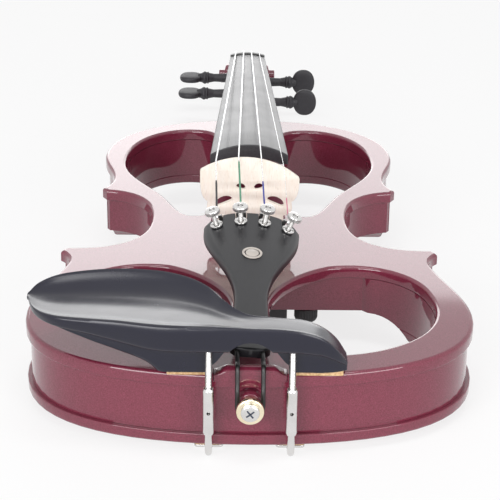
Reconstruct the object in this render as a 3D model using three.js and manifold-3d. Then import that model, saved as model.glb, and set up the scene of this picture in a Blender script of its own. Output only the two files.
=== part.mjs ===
// Electric violin lying on its back.
// Millimetres. +Y runs from the tail to the scroll, +X to the treble side, +Z out of the top plate.
// Every piece is drawn with z = 0 on the back plate's underside and y = 0 at the tail edge of the body.
import * as THREE from 'three';
import { mergeVertices } from 'three/addons/utils/BufferGeometryUtils.js';
import Module from 'manifold-3d';

const wasm = await Module();
wasm.setup();

// Body
const bodyLength = 356;
const bodyDepth = 34.6;
const topZ = bodyDepth;
const lowerBoutHalf = 104.4;
const lowerCornerHalf = 95.7;
const waistHalf = 51.7;
const upperCornerHalf = 81.5;
const upperBoutHalf = 84;
const topPlateThick = 6;
const backPlateThick = 5.5;
const plateOverhang = 2;
const plateEdgeRound = 1.3;
const stripHalf = 9.2;
const spineHalf = 8;
const neckBeamHalf = 21.5;
const waistBlockHalf = 57;
const waistBlockStart = 123;
const scoopDepth = 10;
const scoopStart = 105;
const scoopEnd = 247;
const scoopRamp = 15;
const scoopCurveShare = 0.7;

// Fits
const glueLine = 0.1;
const clearance = 0.3;
const overrun = 20;

// Strings, named bass to treble
const stringNames = ['g', 'd', 'a', 'e'];
const stringLength = 328;
const bridgeY = 161;
const stringRadii = { g: 0.4, d: 0.38, a: 0.33, e: 0.15 };
const bridgeStringSpread = 34.8;
const nutStringSpread = 16.5;
const stringRest = 0.15;
const bridgeArcRadius = 42;
const bridgeArcOffset = -2.7;
const bridgeHeight = 43.3;
const ballRadius = 1.35;
const windingTurns = 3;
const windingSteps = 24;
const windingSides = 6;
const windingGap = 0.5;
const windingStart = 0.8;
const windingClearance = 0.3;

// Bridge
const bridgeTopHalf = 25.5;
const bridgeWaistHalf = 21.5;
const bridgeFootHalf = 21.5;
const bridgeFootLength = 12.5;
const bridgeFootHeight = 4;
const bridgeBaseThick = 4.6;
const bridgeTopThick = 1.8;
const bridgeArchHeight = 11;
const bridgeWaistShare = 0.62;
const bridgeFootSideShare = 0.6;
const bridgeFootCurveShare = 1.4;
const bridgeArchCrownShare = 1.2;
const kidneyX = 13.3;
const kidneyHeight = 19.6;
const kidneyHalfLength = 4.7;
const kidneyHalfHeight = 2.4;
const kidneyTilt = 24;
const heartX = 4.6;
const heartHeight = 27.6;
const heartHalfLength = 2.1;
const heartHalfHeight = 1.8;
const heartTilt = 30;
const pickupLength = 46;
const pickupWidth = 4.2;
const pickupThick = 2.2;

// Neck, fingerboard and nut
const fingerboardLength = 270;
const fingerboardRadius = 42;
const fingerboardWideHalf = 21.4;
const fingerboardNutHalf = 12;
const fingerboardEndLift = 30.3;
const fingerboardNutLift = 4.6;
const fingerboardEndTop = topZ + fingerboardEndLift;
const fingerboardNutTop = topZ + fingerboardNutLift;
const fingerboardSide = 5.4;
const boardHollowWall = 5;
const boardHollowRise = 3.6;
const neckThickNut = 12.4;
const neckThickHeel = 14.2;
const neckInset = 0.4;
const heelLength = 24;
const heelFootHalf = 10.5;
const heelFoot = 1.2;
const heelMortise = 8;
const heelWidthShare = 0.75;
const heelStationShares = [0, 0.25, 0.5, 0.75, 1];
const shaftStationShares = [0.35, 0.7, 1];
const neckRoundShare = 0.8;
const nutThick = 4.5;
const nutRise = 0.8;

// Pegbox and scroll
const pegboxLength = 66;
const pegboxNutHalf = 12.2;
const pegboxThroatHalf = 9.6;
const pegboxWall = 4.6;
const pegboxFloor = 7;
const pegboxSetBack = 5;
const pegboxChin = 28;
const pegboxThroatShare = 0.66;
const pegboxBrowShare = 0.12;
const pegboxBrowDropShare = 0.75;
const pegboxDipShare = 0.4;
const pegboxDipRiseShare = 0.6;
const pegboxEyeDropShare = 0.4;
const pegboxNapeShare = 0.1;
const pegboxChinEndShare = 0.35;
const pegboxChinStartShare = 0.1;
const pegboxShoulderShare = 0.6;
const pegboxShoulderDropShare = 0.8;
const pegboxRootShare = 1.6;
const scrollEyeY = 572;
const scrollEyeDrop = 40;
const scrollEyeZ = fingerboardNutTop - scrollEyeDrop;
const scrollRadius = 21.6;
const scrollEyeRadius = 4.6;
const scrollTurns = 2;
const scrollStepsPerTurn = 20;
const scrollOuterHalf = 6.2;
const scrollEyeHalf = 20;
const scrollEyeBossHalf = 20.8;
const scrollCoilShare = 0.8;
const scrollSpreadShare = 1.3;
const scrollBandShare = 0.72;
const scrollLipShare = 0.28;
const scrollCoreShare = 0.62;

// Pegs, placed along from the nut and down from its top
const pegPlaces = {
  e: { side: 1, along: 12, down: 38.3 },
  g: { side: -1, along: 26, down: 36.6 },
  a: { side: 1, along: 46, down: 33.7 },
  d: { side: -1, along: 60, down: 35 },
};
const pegRadius = 3.4;
const pegTipRadius = 2.9;
const pegCollarRadius = 4.6;
const pegCollarReach = 31.5;
const pegHeadReach = 49.5;
const pegHeadHalf = 9.4;
const pegHeadThick = 5.4;
const pegHeadRound = 1.5;
const pegHeadCurveShare = 0.4;
const pegTipOut = 1;

// Tailpiece and tuners, drawn in the tailpiece's own frame: y from its tail end, z above its top line
const tailpieceY = 8;
const tailpieceLift = 9;
const tailpieceRise = 19.9;
const tailpieceLength = 114.6;
const tailpieceTailShare = 0.04;
const tailpieceTailBendShare = 0.2;
const tailpieceWaistBendShare = 0.25;
const tailpieceWaistStartShare = 0.36;
const tailpieceWaistEndShare = 0.58;
const tailpieceWideBendShare = 0.75;
const tailpieceCornerShare = 0.93;
const tailpieceEndBendShare = 0.98;
const tailpieceEndShare = 0.55;
const tailpieceRoll = 4;
const tailpieceWideHalf = 23.4;
const tailpieceWaistHalf = 7.6;
const tailpieceTailHalf = 9;
const tailpieceArc = 52;
const tailpieceThick = 5;
const inlayY = 77;
const inlayRingRadius = 4.8;
const inlayRingHole = 3.7;
const inlayDotRadius = 3.1;
const inlayThick = 0.5;
const tunerSpread = 34.4;
const tunerY = 105;
const tunerSetBack = 1;
const collarRadius = 3.1;
const collarThick = 1.3;
const collarSeatShare = 0.8;
const collarSeat = 4;
const collarBore = 1.6;
const shankRadius = 1.25;
const shankTop = 9.4;
const shankTipShare = 0.7;
const knobRadius = 3.8;
const knobThick = 2.3;
const tunerKnobHubShare = 0.5;
const tunerKnobUnderShare = 0.75;
const tunerKnobOverShare = 0.2;
const tunerKnobTopShare = 0.9;
const knobBore = 1.4;
const leverDrop = 8.2;
const leverThick = 2;
const leverWidth = 5;
const leverArm = 7.2;
const leverTail = 4.5;
const leverPinY = 5.7;
const leverPinRadius = 0.9;
const leverEar = 1.5;
const leverEarRadius = 1.8;
const leverSlot = 1.3;
const hookRise = 1.2;
const hookLip = 0.7;
const hookSwing = 3.4;

// Tail end: saddle, tailgut and end button
const saddleHalf = 15.8;
const saddleTopHalf = 9.6;
const saddleRise = 3.3;
const saddleFootShare = 0.85;
const saddleFlankShare = 1.25;
const saddleRoundShare = 0.6;
const saddleDepth = 7;
const saddleSeat = 3;
const gutRadius = 1;
const gutHalf = 5.6;
const gutSocket = 9;
const buttonDrop = 12.2;
const buttonZ = topZ - buttonDrop;
const bushingRadius = 5.6;
const bushingThick = 3.5;
const buttonNeckRadius = 4.3;
const buttonNeckLength = 4.5;
const buttonFlangeRadius = 6.2;
const buttonFlangeThick = 3;
const buttonShankRadius = 3.4;
const buttonShankLength = 14;
const buttonScrewRadius = 4.1;
const buttonScrewThick = 1.8;
const buttonBushingSideShare = 0.6;
const buttonBushingEndShare = 0.85;
const buttonNeckWaistShare = 0.9;
const buttonFlangeRoundShare = 0.3;
const buttonFlangeEndShare = 0.85;
const buttonScrewSideShare = 0.5;
const buttonScrewTopShare = 0.7;
const buttonCrossLength = 4.6;
const buttonCrossWidth = 1;
const buttonCrossDepth = 1;

// Chin rest and its clamp
const chinReach = 98;
const chinTail = 41.5;
const chinDepth = 52;
const chinHeight = 29;
const chinCork = 2.4;
const chinArchHalf = 16.6;
const chinArchHeight = 19.6;
const chinArchFoot = 6;
const chinArchFlankShare = 0.69;
const chinArchRiseShare = 0.48;
const chinArchCrownShare = 0.58;
const chinUndercut = 3;
const chinLipShare = 0.4;
const chinCorkLeftShare = -0.37;
const chinCorkRightShare = 0.97;
const chinCorkDepthShare = 0.2;
const chinRimFallShare = 0.7;
const chinLipRunShare = 0.8;
const chinLipFallShare = 0.15;
const chinUnderRunShare = 0.25;
const chinUnderRiseShare = 0.8;
const chinUnderEndShare = 0.8;
const chinBackMiddleShare = 0.5;
const chinBackRoundShare = 0.25;
const chinFarDishShare = 0.82;
const chinFarDishRiseShare = 0.45;
const chinDishShare = 0.5;
const chinNearDishShare = 0.22;
const chinNearDishRiseShare = 0.6;
const clampX = 18;
const clampY = -5;
const rodRadius = 1.6;
const rodReach = 21.4;
const rodTop = topZ + rodReach;
const barrelRadius = 2.6;
const barrelDrop = 3.5;
const barrelTop = topZ - barrelDrop;
const barrelBottom = 8.8;
const barrelEndShare = 0.8;
const rodTipGap = 4.3;
const rodEngage = (barrelTop - barrelBottom - rodTipGap) / 2;
const barrelHoleRadius = 0.8;
const footBend = 5;
const footBendShares = [0, 0.25, 0.5, 0.75, 1];
const footPadStart = 4;
const footPadLength = 13;
const footPadWidth = 13;
const footPadRound = 2;
const footPadThick = 1.3;
const footCork = 1.4;

// Electronics under the waist
const boxLeft = -48;
const boxRight = 19.4;
const boxStart = 124.5;
const boxLength = 50;
const boxThick = 8.6;
const boxRound = 0.8;
const batteryLength = 45;
const batteryWidth = 26;
const batteryThick = 16.5;
const batteryX = -30;
const batteryY = 149.5;
const batteryContact = 2.8;
const batteryContactRise = 2.4;
const doorThick = 1.5;
const controlKnobRadius = 6;
const controlKnobThick = 7;
const controlKnobX = 29.2;
const controlKnobY = 131;
const controlStemRadius = 3;
const controlStem = 1.6;
const controlGrips = 8;
const controlGripRadius = 0.6;
const controlSpacing = 17;
const switchX = 6;
const switchY = 132;
const switchLength = 4;
const switchWidth = 2.6;
const switchRise = 1.2;
const switchTravel = 3;
const jackRadius = 5.5;
const jackBore = 3.3;
const jackLength = 20;
const jackX = 8;
const jackY = 152;
const jackRim = 1;
const phonesJackRadius = 3.4;
const phonesJackBore = 1.85;
const phonesJackLength = 12;
const phonesJackX = -9;

const deg = Math.PI / 180;
const nutY = bridgeY + stringLength;

// Closed meshes and solids

// Keeps positions only, joins shared corners and turns the faces outwards.
function closed(geometry) {
  let bare = geometry.clone();
  bare.deleteAttribute('normal');
  bare.deleteAttribute('uv');
  bare = mergeVertices(bare, 1e-4);
  const place = bare.attributes.position;
  const index = bare.index.array;
  const kept = [];
  let volume = 0;
  for (let i = 0; i < index.length; i += 3) {
    const [a, b, c] = [index[i], index[i + 1], index[i + 2]];
    if (a === b || b === c || a === c) continue;
    kept.push(a, b, c);
    const pa = new THREE.Vector3().fromBufferAttribute(place, a);
    const pb = new THREE.Vector3().fromBufferAttribute(place, b);
    const pc = new THREE.Vector3().fromBufferAttribute(place, c);
    volume += pa.dot(pb.cross(pc));
  }
  if (volume < 0) kept.reverse();
  bare.setIndex(kept);
  return bare;
}

function solid(geometry) {
  const bare = closed(geometry);
  const vertProperties = new Float32Array(bare.attributes.position.array);
  const triVerts = new Uint32Array(bare.index.array);
  return new wasm.Manifold(new wasm.Mesh({ numProp: 3, vertProperties, triVerts }));
}

function geometryOf(body) {
  const mesh = body.getMesh();
  const geometry = new THREE.BufferGeometry();
  geometry.setAttribute('position', new THREE.BufferAttribute(new Float32Array(mesh.vertProperties), 3));
  geometry.setIndex(new THREE.BufferAttribute(new Uint32Array(mesh.triVerts), 1));
  return geometry;
}

// A section drawn in (x, z), run along y.
function alongY(shape, start, end, options = {}) {
  const geometry = new THREE.ExtrudeGeometry(shape, { depth: end - start, bevelEnabled: false, ...options });
  return geometry.rotateX(90 * deg).translate(0, end, 0);
}

// A section drawn in (y, z), run along x.
function alongX(shape, start, end, options = {}) {
  const geometry = new THREE.ExtrudeGeometry(shape, { depth: end - start, bevelEnabled: false, ...options });
  const turn = new THREE.Matrix4().makeBasis(
    new THREE.Vector3(0, 1, 0), new THREE.Vector3(0, 0, 1), new THREE.Vector3(1, 0, 0));
  return geometry.applyMatrix4(turn).translate(start, 0, 0);
}

// A plan drawn in (x, y), run up z.
function upZ(shape, start, end, options = {}) {
  const geometry = new THREE.ExtrudeGeometry(shape, { depth: end - start, bevelEnabled: false, ...options });
  return geometry.translate(0, 0, start);
}

// A plan run up z with the edges of its bottom face eased.
function easedBelow(shape, start, end, round) {
  const bevel = { bevelEnabled: true, bevelThickness: round, bevelSize: round, bevelOffset: -round, bevelSegments: 1 };
  const plate = solid(upZ(shape, start + round, end + round, bevel));
  return plate.trimByPlane([0, 0, -1], -end);
}

// The same with the edges of its top face eased.
function easedAbove(shape, start, end, round) {
  return easedBelow(shape, -end, -start, round).mirror([0, 0, 1]);
}

function box(x0, x1, y0, y1, z0, z1) {
  return new THREE.BoxGeometry(x1 - x0, y1 - y0, z1 - z0)
    .translate((x0 + x1) / 2, (y0 + y1) / 2, (z0 + z1) / 2);
}

// A turned piece: its profile is a list of [radius, height], its axis runs up z.
function turned(profile, sides) {
  const points = profile.map(([radius, height]) => new THREE.Vector2(radius, height));
  return new THREE.LatheGeometry(points, sides).rotateX(90 * deg);
}

function rod(radius, start, end, sides) {
  return turned([[0, start], [radius, start], [radius, end], [0, end]], sides);
}

// Rings with the same number of corners, joined side by side and closed at both ends.
function loft(rings, flatRing) {
  const count = rings[0].length;
  const positions = rings.flat().flatMap((point) => [point.x, point.y, point.z]);
  const index = [];
  for (let ring = 0; ring + 1 < rings.length; ring += 1) {
    for (let corner = 0; corner < count; corner += 1) {
      const next = (corner + 1) % count;
      const [a, b] = [ring * count + corner, ring * count + next];
      index.push(a, b, b + count, a, b + count, a + count);
    }
  }
  const faces = THREE.ShapeUtils.triangulateShape(flatRing, []);
  if (THREE.ShapeUtils.isClockWise(flatRing)) {
    for (const face of faces) face.reverse();
  }
  const last = (rings.length - 1) * count;
  for (const [a, b, c] of faces) {
    index.push(c, b, a, last + a, last + b, last + c);
  }
  const geometry = new THREE.BufferGeometry();
  geometry.setAttribute('position', new THREE.Float32BufferAttribute(positions, 3));
  geometry.setIndex(index);
  return geometry;
}

// A round wire through a list of points, one ring of sides at each point.
function wire(points, radius, sides) {
  const rings = [];
  let across = null;
  for (let i = 0; i < points.length; i += 1) {
    const before = points[Math.max(i - 1, 0)];
    const after = points[Math.min(i + 1, points.length - 1)];
    const ahead = after.clone().sub(before).normalize();
    if (!across) {
      across = Math.abs(ahead.x) < 0.9 ? new THREE.Vector3(1, 0, 0) : new THREE.Vector3(0, 0, 1);
    }
    across = across.clone().addScaledVector(ahead, -across.dot(ahead)).normalize();
    const up = ahead.clone().cross(across);
    const ring = [];
    for (let side = 0; side < sides; side += 1) {
      const turn = (side / sides) * 2 * Math.PI;
      ring.push(points[i].clone()
        .addScaledVector(across, radius * Math.cos(turn))
        .addScaledVector(up, radius * Math.sin(turn)));
    }
    rings.push(ring);
  }
  const flat = rings[0].map((_, side) => {
    const turn = (side / sides) * 2 * Math.PI;
    return new THREE.Vector2(Math.cos(turn), Math.sin(turn));
  });
  return loft(rings, flat);
}

function smoothStep(from, to, value) {
  const share = Math.min(Math.max((value - from) / (to - from), 0), 1);
  return share * share * (3 - 2 * share);
}

function mix(from, to, share) {
  return from + (to - from) * share;
}

// Materials
const paint = (color, roughness, metalness = 0) => new THREE.MeshStandardMaterial({ color, roughness, metalness });
const lacquer = paint(0x6e2438, 0.15);
const ebony = paint(0x1c1b1e, 0.45);
const mapleCream = paint(0xf3e2cf, 0.55);
const nickel = paint(0xd9d6d0, 0.22, 0.95);
const brass = paint(0xd8b878, 0.28, 0.95);
const steel = paint(0xc9c9cc, 0.3, 0.95);
const blackPlastic = paint(0x17171a, 0.5);
const cork = paint(0xc79a63, 0.9);
const bone = paint(0xe9e2d2, 0.4);
const cellAlloy = paint(0x8c8f94, 0.4, 0.7);

const violin = new THREE.Group();
const tailpieceFrame = new THREE.Group();
const tailpiecePitch = Math.asin(tailpieceRise / tailpieceLength);
tailpieceFrame.position.set(0, tailpieceY, topZ + tailpieceLift);
tailpieceFrame.rotation.set(tailpiecePitch, tailpieceRoll * deg, 0, 'YXZ');
violin.add(tailpieceFrame);

function add(name, shape, material, parent = violin) {
  const geometry = shape.getMesh ? geometryOf(shape) : closed(shape);
  geometry.computeVertexNormals();
  const mesh = new THREE.Mesh(geometry, material);
  mesh.name = name;
  parent.add(mesh);
  return mesh;
}

// Body outline

const halfWidths = {
  lower: lowerBoutHalf,
  lowerCorner: lowerCornerHalf,
  waist: waistHalf,
  upperCorner: upperCornerHalf,
  upper: upperBoutHalf,
  strip: stripHalf,
  spine: spineHalf,
  beam: neckBeamHalf,
  block: waistBlockHalf,
};

// Rows of [width, share of that half width, share of the body length].
// A row of three places is a curve by its two handles and its end, a row of one is a straight.
const outlineShares = [
  [['lower', 0, 0]],
  [['lower', 0.6, 0], ['lower', 1, 0.055], ['lower', 1, 0.187]],
  [['lower', 1, 0.247], ['lower', 0.895, 0.3], ['lower', 0.867, 0.352]],
  [['lowerCorner', 0.941, 0.366], ['lowerCorner', 0.965, 0.382], ['lowerCorner', 1, 0.391]],
  [['lowerCorner', 0.978, 0.4045]],
  [['waist', 1.32, 0.402], ['waist', 1, 0.435], ['waist', 1, 0.5225]],
  [['waist', 1, 0.59], ['waist', 1.18, 0.632], ['upperCorner', 0.97, 0.638]],
  [['upperCorner', 1, 0.65]],
  [['upperCorner', 0.965, 0.662], ['upper', 0.911, 0.676], ['upper', 0.911, 0.694]],
  [['upper', 0.911, 0.736], ['upper', 1, 0.764], ['upper', 1, 0.812]],
  [['upper', 1, 0.927], ['upper', 0.595, 1], ['upper', 0, 1]],
];

const lowerHoleSideShares = [
  [['lower', 0.594, 0.354], ['lower', 0.785, 0.3146], ['lower', 0.824, 0.2528]],
  [['lower', 0.881, 0.1854], ['lower', 0.805, 0.1236], ['lower', 0.632, 0.09]],
  [['lower', 0.536, 0.0702], ['lower', 0.421, 0.0604], ['lower', 0.287, 0.0604]],
];

const lowerHoleShares = [
  [['strip', 1, 0.1]],
  [['strip', 1, 0.213]],
  [['strip', 1.25, 0.267], ['lower', 0.23, 0.3146], ['lower', 0.383, 0.337]],
  ...lowerHoleSideShares,
  [['lower', 0.153, 0.0604], ['strip', 1, 0.073], ['strip', 1, 0.1]],
];

const upperHoleShares = [
  [['beam', 1, 0.562]],
  [['beam', 0.955, 0.9045]],
  [['beam', 0.955, 0.93], ['upper', 0.32, 0.938], ['upper', 0.43, 0.938]],
  [['upper', 0.69, 0.935], ['upper', 0.85, 0.865], ['upper', 0.85, 0.781]],
  [['upper', 0.85, 0.708], ['upper', 0.643, 0.663], ['upper', 0.548, 0.6096]],
  [['upper', 0.488, 0.576], ['upper', 0.44, 0.535], ['upper', 0.357, 0.535]],
  [['upper', 0.298, 0.535], ['beam', 1, 0.542], ['beam', 1, 0.562]],
];

const bodyPlace = ([width, xShare, yShare]) =>
  new THREE.Vector2(halfWidths[width] * xShare, bodyLength * yShare);

function planPath(rows, steps) {
  const path = new THREE.Path();
  const start = bodyPlace(rows[0][0]);
  path.moveTo(start.x, start.y);
  for (const row of rows.slice(1)) {
    const places = row.map(bodyPlace);
    if (places.length === 1) {
      path.lineTo(places[0].x, places[0].y);
    } else {
      path.bezierCurveTo(...places.flatMap((place) => [place.x, place.y]));
    }
  }
  return path.getPoints(steps);
}

function mirrored(points) {
  return points.map((point) => new THREE.Vector2(-point.x, point.y)).reverse();
}

// Moves a closed run of points to its right-hand side, for an outline that runs round anticlockwise.
function inset(points, distance) {
  const count = points.length;
  return points.map((point, i) => {
    const before = points[(i + count - 1) % count];
    const after = points[(i + 1) % count];
    const into = point.clone().sub(before).normalize();
    const out = after.clone().sub(point).normalize();
    const side = new THREE.Vector2(-into.y - out.y, into.x + out.x).normalize();
    const reach = Math.max(side.dot(new THREE.Vector2(-into.y, into.x)), 0.5);
    return point.clone().addScaledVector(side, distance / reach);
  });
}

const outlineSteps = 7;
const holeSteps = 6;
const rightOutline = planPath(outlineShares, outlineSteps);
const outline = [...rightOutline, ...mirrored(rightOutline.slice(1, -1))];
const lowerHole = planPath(lowerHoleShares, holeSteps).slice(0, -1);
const upperHole = planPath(upperHoleShares, holeSteps).slice(0, -1);

// The block below the plate starts at a straight face, and its side of the hole follows the plate's.
function blockHole() {
  const side = planPath([lowerHoleShares[2].slice(-1), ...lowerHoleSideShares], holeSteps);
  const corner = planPath([lowerHoleSideShares.at(-1).slice(-1), lowerHoleShares.at(-1)], holeSteps).slice(1, -1);
  return [
    bodyPlace(['spine', 1, lowerHoleShares[0][0][2]]),
    new THREE.Vector2(spineHalf, waistBlockStart),
    new THREE.Vector2(waistBlockHalf, waistBlockStart),
    ...side.filter((point) => point.x > waistBlockHalf || point.y < waistBlockStart / 2),
    ...corner.map((point) => new THREE.Vector2(Math.max(point.x, spineHalf), point.y)),
  ];
}

function plateShape(edge, holes) {
  const shape = new THREE.Shape(edge);
  for (const hole of holes) {
    shape.holes.push(new THREE.Path(hole), new THREE.Path(mirrored(hole)));
  }
  return shape;
}

// Hollow of the back across the waist, with a slope at each end.
function scoop() {
  const profile = new THREE.Shape();
  const slope = scoopRamp / scoopDepth;
  profile.moveTo(scoopStart - overrun * slope, -overrun);
  profile.lineTo(scoopStart, 0);
  profile.quadraticCurveTo(scoopStart + scoopRamp * scoopCurveShare, scoopDepth, scoopStart + scoopRamp, scoopDepth);
  profile.lineTo(scoopEnd - scoopRamp, scoopDepth);
  profile.quadraticCurveTo(scoopEnd - scoopRamp * scoopCurveShare, scoopDepth, scoopEnd, 0);
  profile.lineTo(scoopEnd + overrun * slope, -overrun);
  return solid(alongX(profile, -lowerBoutHalf - overrun, lowerBoutHalf + overrun, { curveSegments: 5 }));
}

const heelHalfAt = (z) => mix(heelFootHalf, fingerboardWideHalf * heelWidthShare, z / bodyDepth);

// Slot in the end block that takes the foot of the neck.
function heelSlot() {
  const slot = new THREE.Shape();
  slot.moveTo(-heelHalfAt(0) - clearance, -overrun);
  slot.lineTo(heelHalfAt(0) + clearance, -overrun);
  slot.lineTo(heelHalfAt(0) + clearance, 0);
  slot.lineTo(heelHalfAt(bodyDepth) + clearance, bodyDepth);
  slot.lineTo(heelHalfAt(bodyDepth) + clearance, bodyDepth + overrun);
  slot.lineTo(-heelHalfAt(bodyDepth) - clearance, bodyDepth + overrun);
  slot.lineTo(-heelHalfAt(bodyDepth) - clearance, bodyDepth);
  slot.lineTo(-heelHalfAt(0) - clearance, 0);
  return solid(alongY(slot, bodyLength - heelMortise, bodyLength + overrun));
}

function pickupSlot(gap) {
  return solid(box(
    -pickupLength / 2 - gap, pickupLength / 2 + gap,
    bridgeY - pickupWidth / 2 - gap, bridgeY + pickupWidth / 2 + gap,
    topZ - pickupThick - gap, topZ + (gap ? overrun : 0)));
}

function saddleSlot() {
  return solid(box(
    -saddleHalf - clearance, saddleHalf + clearance, -overrun, saddleDepth + clearance,
    topZ - saddleSeat - glueLine, topZ + overrun));
}

function body() {
  const hollow = scoop();
  const slot = heelSlot();
  const plate = plateShape(outline, [lowerHole, upperHole]);
  const top = easedAbove(plate, topZ - topPlateThick, topZ, plateEdgeRound);
  add('top_plate', top.subtract(slot).subtract(pickupSlot(glueLine)).subtract(saddleSlot()), lacquer);

  const hole = blockHole();
  const rib = plateShape(inset(outline, plateOverhang), [hole, upperHole]);
  const frame = solid(upZ(rib, backPlateThick + glueLine, topZ - topPlateThick - glueLine));
  const batterySeat = solid(box(
    batteryX - batteryWidth / 2 - clearance, batteryX + batteryWidth / 2 + clearance,
    batteryY - batteryLength / 2 - clearance, batteryY + batteryLength / 2 + clearance,
    -overrun, batteryStart + batteryThick + clearance));
  const jackSeat = solid(rod(jackRadius + clearance, -overrun, boxBottom + jackLength + clearance, 20)
    .translate(jackX, jackY, 0));
  const phonesSeat = solid(rod(phonesJackRadius + clearance, -overrun, boxBottom + phonesJackLength + clearance, 16)
    .translate(phonesJackX, jackY, 0));
  const buttonHole = solid(rod(buttonShankRadius + clearance, -overrun, buttonShankLength + clearance, 16)
    .rotateX(-90 * deg).translate(0, 0, buttonZ));
  add('rib_frame', frame.subtract(hollow).subtract(slot).subtract(batterySeat).subtract(buttonHole)
    .subtract(jackSeat).subtract(phonesSeat), lacquer);

  const back = easedBelow(plateShape(outline, [hole, upperHole]), 0, backPlateThick, plateEdgeRound)
    .subtract(hollow).subtract(slot);
  const middle = (scoopStart + scoopEnd) / 2;
  const reach = lowerBoutHalf + overrun;
  const upperHalf = solid(box(-reach, reach, middle, bodyLength + overrun, -overrun, topZ));
  const lowerHalf = solid(box(-reach, reach, -overrun, middle, -overrun, topZ));
  add('back_plate_lower', back.subtract(upperHalf), lacquer);
  add('back_plate_upper', back.subtract(lowerHalf), lacquer);
}

// Fingerboard, nut and neck

const fingerboardY = nutY - fingerboardLength;
const alongBoard = (y) => (y - fingerboardY) / fingerboardLength;
const boardHalf = (y) => mix(fingerboardWideHalf, fingerboardNutHalf, alongBoard(y));
const boardTop = (y) => mix(fingerboardEndTop, fingerboardNutTop, alongBoard(y));
const drop = (half) => fingerboardRadius - Math.sqrt(fingerboardRadius ** 2 - half ** 2);
const boardBottomWide = fingerboardEndTop - drop(fingerboardWideHalf) - fingerboardSide;
const boardBottomNut = fingerboardNutTop - drop(fingerboardNutHalf) - fingerboardSide;
const boardBottom = (y) => mix(boardBottomWide, boardBottomNut, alongBoard(y));

function archedSection(y, lift, bottom, half = boardHalf(y)) {
  const points = [new THREE.Vector2(-half, bottom), new THREE.Vector2(half, bottom)];
  const steps = 8;
  for (let i = 0; i <= steps; i += 1) {
    const x = mix(half, -half, i / steps);
    points.push(new THREE.Vector2(x, boardTop(y) + lift - drop(x)));
  }
  return points;
}

function loftAlongY(sections) {
  const rings = sections.map(({ y, points }) => points.map((point) => new THREE.Vector3(point.x, y, point.y)));
  return loft(rings, sections[0].points);
}

// Arched hollow under the end of the fingerboard that stands free of the neck.
function boardHollow() {
  const steps = 6;
  const ends = [fingerboardY - clearance, bodyLength - heelMortise - boardHollowWall].map((y) => {
    const half = boardHalf(y) - boardHollowWall;
    const low = boardBottom(y) - clearance;
    const points = [new THREE.Vector2(-half, low), new THREE.Vector2(half, low)];
    for (let i = 0; i <= steps; i += 1) {
      const turn = (i / steps) * Math.PI;
      points.push(new THREE.Vector2(half * Math.cos(turn), boardBottom(y) + boardHollowRise * Math.sin(turn)));
    }
    return { y, points };
  });
  return solid(loftAlongY(ends));
}

function fingerboard() {
  const ends = [fingerboardY, nutY].map((y) => ({ y, points: archedSection(y, 0, boardBottom(y)) }));
  add('fingerboard', solid(loftAlongY(ends)).subtract(boardHollow()), ebony);
}

const nutFront = nutY + glueLine;
const nutBack = nutFront + nutThick;
const nutTop = (x) => boardTop(nutY) + nutRise - drop(x);

function nut() {
  const ends = [nutFront, nutBack].map((y) => {
    const points = archedSection(nutY, nutRise, boardBottom(nutY));
    return { y, points };
  });
  add('nut', loftAlongY(ends), bone);
}

// One D-shaped slice of the neck, flat on top.
function neckSection(y, half, top, bottom) {
  const points = [];
  const steps = 10;
  for (let i = 0; i <= steps; i += 1) {
    const turn = (i / steps) * Math.PI;
    const bulge = Math.sign(Math.cos(turn)) * Math.abs(Math.cos(turn)) ** neckRoundShare;
    points.push(new THREE.Vector2(half * bulge, top - (top - bottom) * Math.sin(turn) ** neckRoundShare));
  }
  return { y, points };
}

function neckShaft() {
  const sections = [];
  const heelEnd = bodyLength + heelLength;
  const topAt = (y) => boardBottom(y) - glueLine;
  const thickAt = (y) => mix(neckThickHeel, neckThickNut, smoothStep(heelEnd, nutY, y));
  for (const share of heelStationShares) {
    const y = mix(bodyLength, heelEnd, share);
    const blend = smoothStep(0, 1, share);
    const bottom = mix(heelFoot, topAt(y) - thickAt(y), Math.sqrt(blend));
    sections.push(neckSection(y, boardHalf(y) - neckInset, topAt(y), bottom));
  }
  for (const share of shaftStationShares) {
    const y = mix(heelEnd, nutY, share);
    sections.push(neckSection(y, boardHalf(y) - neckInset, topAt(y), topAt(y) - thickAt(y)));
  }
  sections.push(neckSection(nutBack, pegboxNutHalf, topAt(nutY), topAt(nutY) - neckThickNut));
  return solid(loftAlongY(sections));
}

// Foot of the neck in the end block's slot.
function neckFoot() {
  const top = boardBottom(bodyLength) - glueLine;
  const foot = new THREE.Shape([
    new THREE.Vector2(-heelHalfAt(heelFoot), heelFoot),
    new THREE.Vector2(heelHalfAt(heelFoot), heelFoot),
    new THREE.Vector2(heelHalfAt(bodyDepth), bodyDepth),
    new THREE.Vector2(heelHalfAt(bodyDepth), top - clearance),
    new THREE.Vector2(-heelHalfAt(bodyDepth), top - clearance),
    new THREE.Vector2(-heelHalfAt(bodyDepth), bodyDepth),
  ]);
  return solid(alongY(foot, bodyLength - heelMortise + clearance, bodyLength + clearance));
}

const pegboxStart = nutBack;
const pegboxEnd = pegboxStart + pegboxLength;
const pegboxFront = boardBottom(nutY) - glueLine;
const scrollTopZ = scrollEyeZ + scrollRadius * 0.97;
const scrollLow = scrollEyeZ - scrollRadius;

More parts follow.
